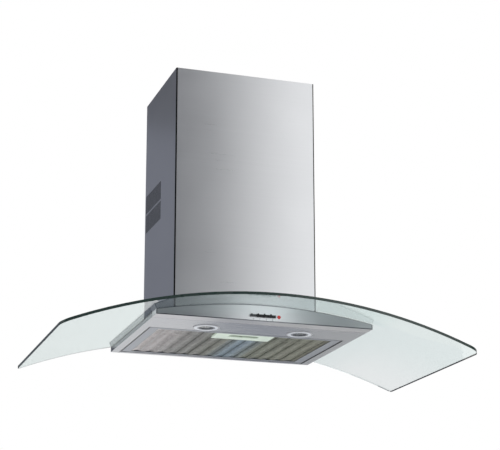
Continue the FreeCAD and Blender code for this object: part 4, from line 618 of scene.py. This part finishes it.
def strands(left, right, rear, front, base):
    """Expanded metal: strands side by side, each a zigzag across the filter that meets its neighbour at every
    bend. A strand's middle is its row plus or minus half of what the row is wider than the strand. A bend
    lasts a fifth of a half wave. The section's edges are raised and lowered by 0.3 of its width."""
    wave, row, wide, thick = 7.4 * mm, 3.4 * mm, 1.25 * mm, 0.5 * mm
    lean, bend = 0.3 * wide, 0.2 * wave / 2
    bends = int(round((right - left) / (wave / 2)))
    middles = np.linspace(left, right, bends + 1)
    x = (middles[:, None] + np.array([-0.5, 0.5]) * bend).ravel().clip(left, right)
    side = np.where(np.arange(bends + 1) % 2 == 0, 1, -1).repeat(2)
    rows = np.arange(rear - row / 2, front + row / 2, -row)
    flip = np.where(np.arange(len(rows)) % 2 == 0, 1, -1)
    y = rows[:, None] + flip[:, None] * side[None, :] * (row - wide) / 2
    section = np.array([(-1, -1), (1, -1), (1, 1), (-1, 1)])
    points = np.empty((len(rows), len(x), 4, 3))
    points[..., 0] = x[None, :, None]
    points[..., 1] = y[:, :, None] + section[None, None, :, 0] * wide / 2
    points[..., 2] = (
        base + rib_height(x)[None, :, None] + thick / 2 + lean
        + section[None, None, :, 0] * lean + section[None, None, :, 1] * thick / 2)
    count = len(x)
    first = (np.arange(len(rows))[:, None] * count + np.arange(count - 1)[None, :]) * 4
    ring = np.arange(4)
    sides = np.stack([
        first[..., None] + ring, first[..., None] + (ring + 1) % 4,
        first[..., None] + 4 + (ring + 1) % 4, first[..., None] + 4 + ring], axis=-1)
    start = np.arange(len(rows))[:, None] * count * 4
    caps = np.concatenate([start + ring[::-1], start + (count - 1) * 4 + ring])
    return points.reshape(-1, 3), np.concatenate([sides.reshape(-1, 4), caps])


low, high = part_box("filter_mesh_lower")
handle_low, handle_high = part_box("handle_plate")
gap, tuck = 1 * mm, 0.5 * mm  # the mesh ends behind the handle plate, and runs a little over its sides
points, quads, count = [], [], 0
for left, right, rear, front in (
        (low.x, high.x, high.y, handle_high.y + gap),
        (low.x, handle_low.x + tuck, handle_high.y, low.y),
        (handle_high.x - tuck, high.x, handle_high.y, low.y)):
    area_points, area_quads = strands(left, right, rear, front, low.z)
    points.append(area_points)
    quads.append(area_quads + count)
    count += len(area_points)
expanded = mesh_from("expanded_mesh", np.concatenate(points), np.concatenate(quads))

fold_at = 21 * mm  # of each rib's pitch
mesh_metal, tree, shader, grain = brushed("mesh_aluminium", (0.97, 0.97, 0.97), (400, 400, 400), 0.3, 0.3)
across, _, _ = place_along(tree)
# Painted reflections: the mesh runs from pinkish white at the left through a bluish middle to olive at the
# right.
tone = add(tree, "ValToRGB", {"Fac": mask(tree, across, low.x, high.x)})
stops = tone.color_ramp.elements
stops[0].color = (1, 0.95, 0.94, 1)
stops[1].color = (0.6, 0.6, 0.53, 1)
for share, colour in (
        (0.13, (0.95, 0.92, 0.92)), (0.27, (0.66, 0.66, 0.65)), (0.45, (0.6, 0.61, 0.57)),
        (0.52, (0.6, 0.69, 0.76)), (0.58, (0.6, 0.68, 0.74)), (0.66, (0.57, 0.59, 0.53))):
    stops.new(share).color = (*colour, 1)
# Painted glints and shade along each rib's fold: lighter towards the left end, darker elsewhere.
along = math_of(tree, "FLOORED_MODULO", across, rib_pitch)
from_fold = math_of(tree, "ABSOLUTE", math_of(tree, "SUBTRACT", along, fold_at), 0)
at_fold = mask(tree, from_fold, 1.3 * mm, 0.5 * mm)
painted_fold_glint_and_shade = scaled(tree, across, -170 * mm, -90 * mm, 1.3, 0.55)  # light at the left end, dark elsewhere
shade = add(tree, "MapRange", {"Value": at_fold, "To Min": 1, "To Max": painted_fold_glint_and_shade}).outputs["Result"]
grain_with_painted_reflections = covered(tree, 1.0, grain.outputs["Colour"], tone.outputs["Color"], blend_type="MULTIPLY")
tree.links.new(tinted(tree, grain_with_painted_reflections, shade), shader.inputs["Base Color"])
dress(mesh_metal, "filter_mesh_upper")
expanded.data.materials.append(mesh_metal)
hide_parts("filter_mesh_lower")
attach(expanded, "filter")


def coil(start, end, radius, wire, turns):
    """A coil spring along Y. Its middle line goes round at a fixed radius while Y runs evenly from start to
    end, and a small circle across that line is carried along it. A ladder of faces closes each end."""
    steps, sides = turns * 24, 10  # along the wire and round it
    turn = np.linspace(0, 2 * np.pi * turns, steps + 1)
    out = np.column_stack([np.cos(turn), np.zeros(steps + 1), np.sin(turn)])
    rise = np.column_stack([np.zeros(steps + 1), np.linspace(start, end, steps + 1), np.zeros(steps + 1)])
    middle = radius * out + rise
    along = np.gradient(middle, axis=0)
    along /= np.linalg.norm(along, axis=1)[:, None]
    third = np.cross(along, out)
    angle = np.linspace(0, 2 * np.pi, sides, endpoint=False)
    ring = out[:, None] * np.cos(angle)[None, :, None] + third[:, None] * np.sin(angle)[None, :, None]
    points = middle[:, None] + ring * wire
    first = np.arange(steps)[:, None] * sides + np.arange(sides)[None, :]
    after = np.arange(steps)[:, None] * sides + (np.arange(sides)[None, :] + 1) % sides
    quads = np.stack([first, after, after + sides, first + sides], axis=-1).reshape(-1, 4)
    one, other = -np.arange(sides // 2) % sides, np.arange(sides // 2) + 1
    ladder = np.stack([one[:-1], other[:-1], other[1:], one[1:]], axis=-1)
    return points.reshape(-1, 3), np.concatenate([quads, ladder[:, ::-1], ladder + steps * sides])


wire, turns, travel = 0.35 * mm, 8, 7 * mm
low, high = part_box("latch_spring")
points, quads = coil(low.y + wire, high.y - wire, (high.x - low.x) / 2 - wire, wire, turns)
points += np.array([(low.x + high.x) / 2, 0, (low.z + high.z) / 2])
spring = mesh_from("latch_coil", points, quads)
spring.data.materials.append(plated)
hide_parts("latch_spring")
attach(spring, "filter")
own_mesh(spring)

painted_slot_light = (0.6, 0.68, 0.58)  # painted light that brightens the finger slot, where the plastic would lie in shade
for name, colour, piece in (
        ("handle_plastic", (0.78, 0.9, 0.78), "handle_plate"),
        ("latch_plastic", (0.7, 0.8, 0.68), "filter_latch")):
    plastic = moulded(name, colour, 900, 0.4, Coat_Weight=0.1, Emission_Strength=0.3)
    tree = plastic.node_tree
    _, _, z = place_along(tree)
    # Painted light: the plastic glows everywhere above its lowest 1.6 mm, which lights the finger slot.
    in_slot = mask(tree, z, handle_low.z + 0.8 * mm, handle_low.z + 1.6 * mm)
    glow = tinted(tree, painted_slot_light, in_slot)
    tree.links.new(glow, tree.nodes["Principled BSDF"].inputs["Emission Color"])
    dress(plastic, piece)
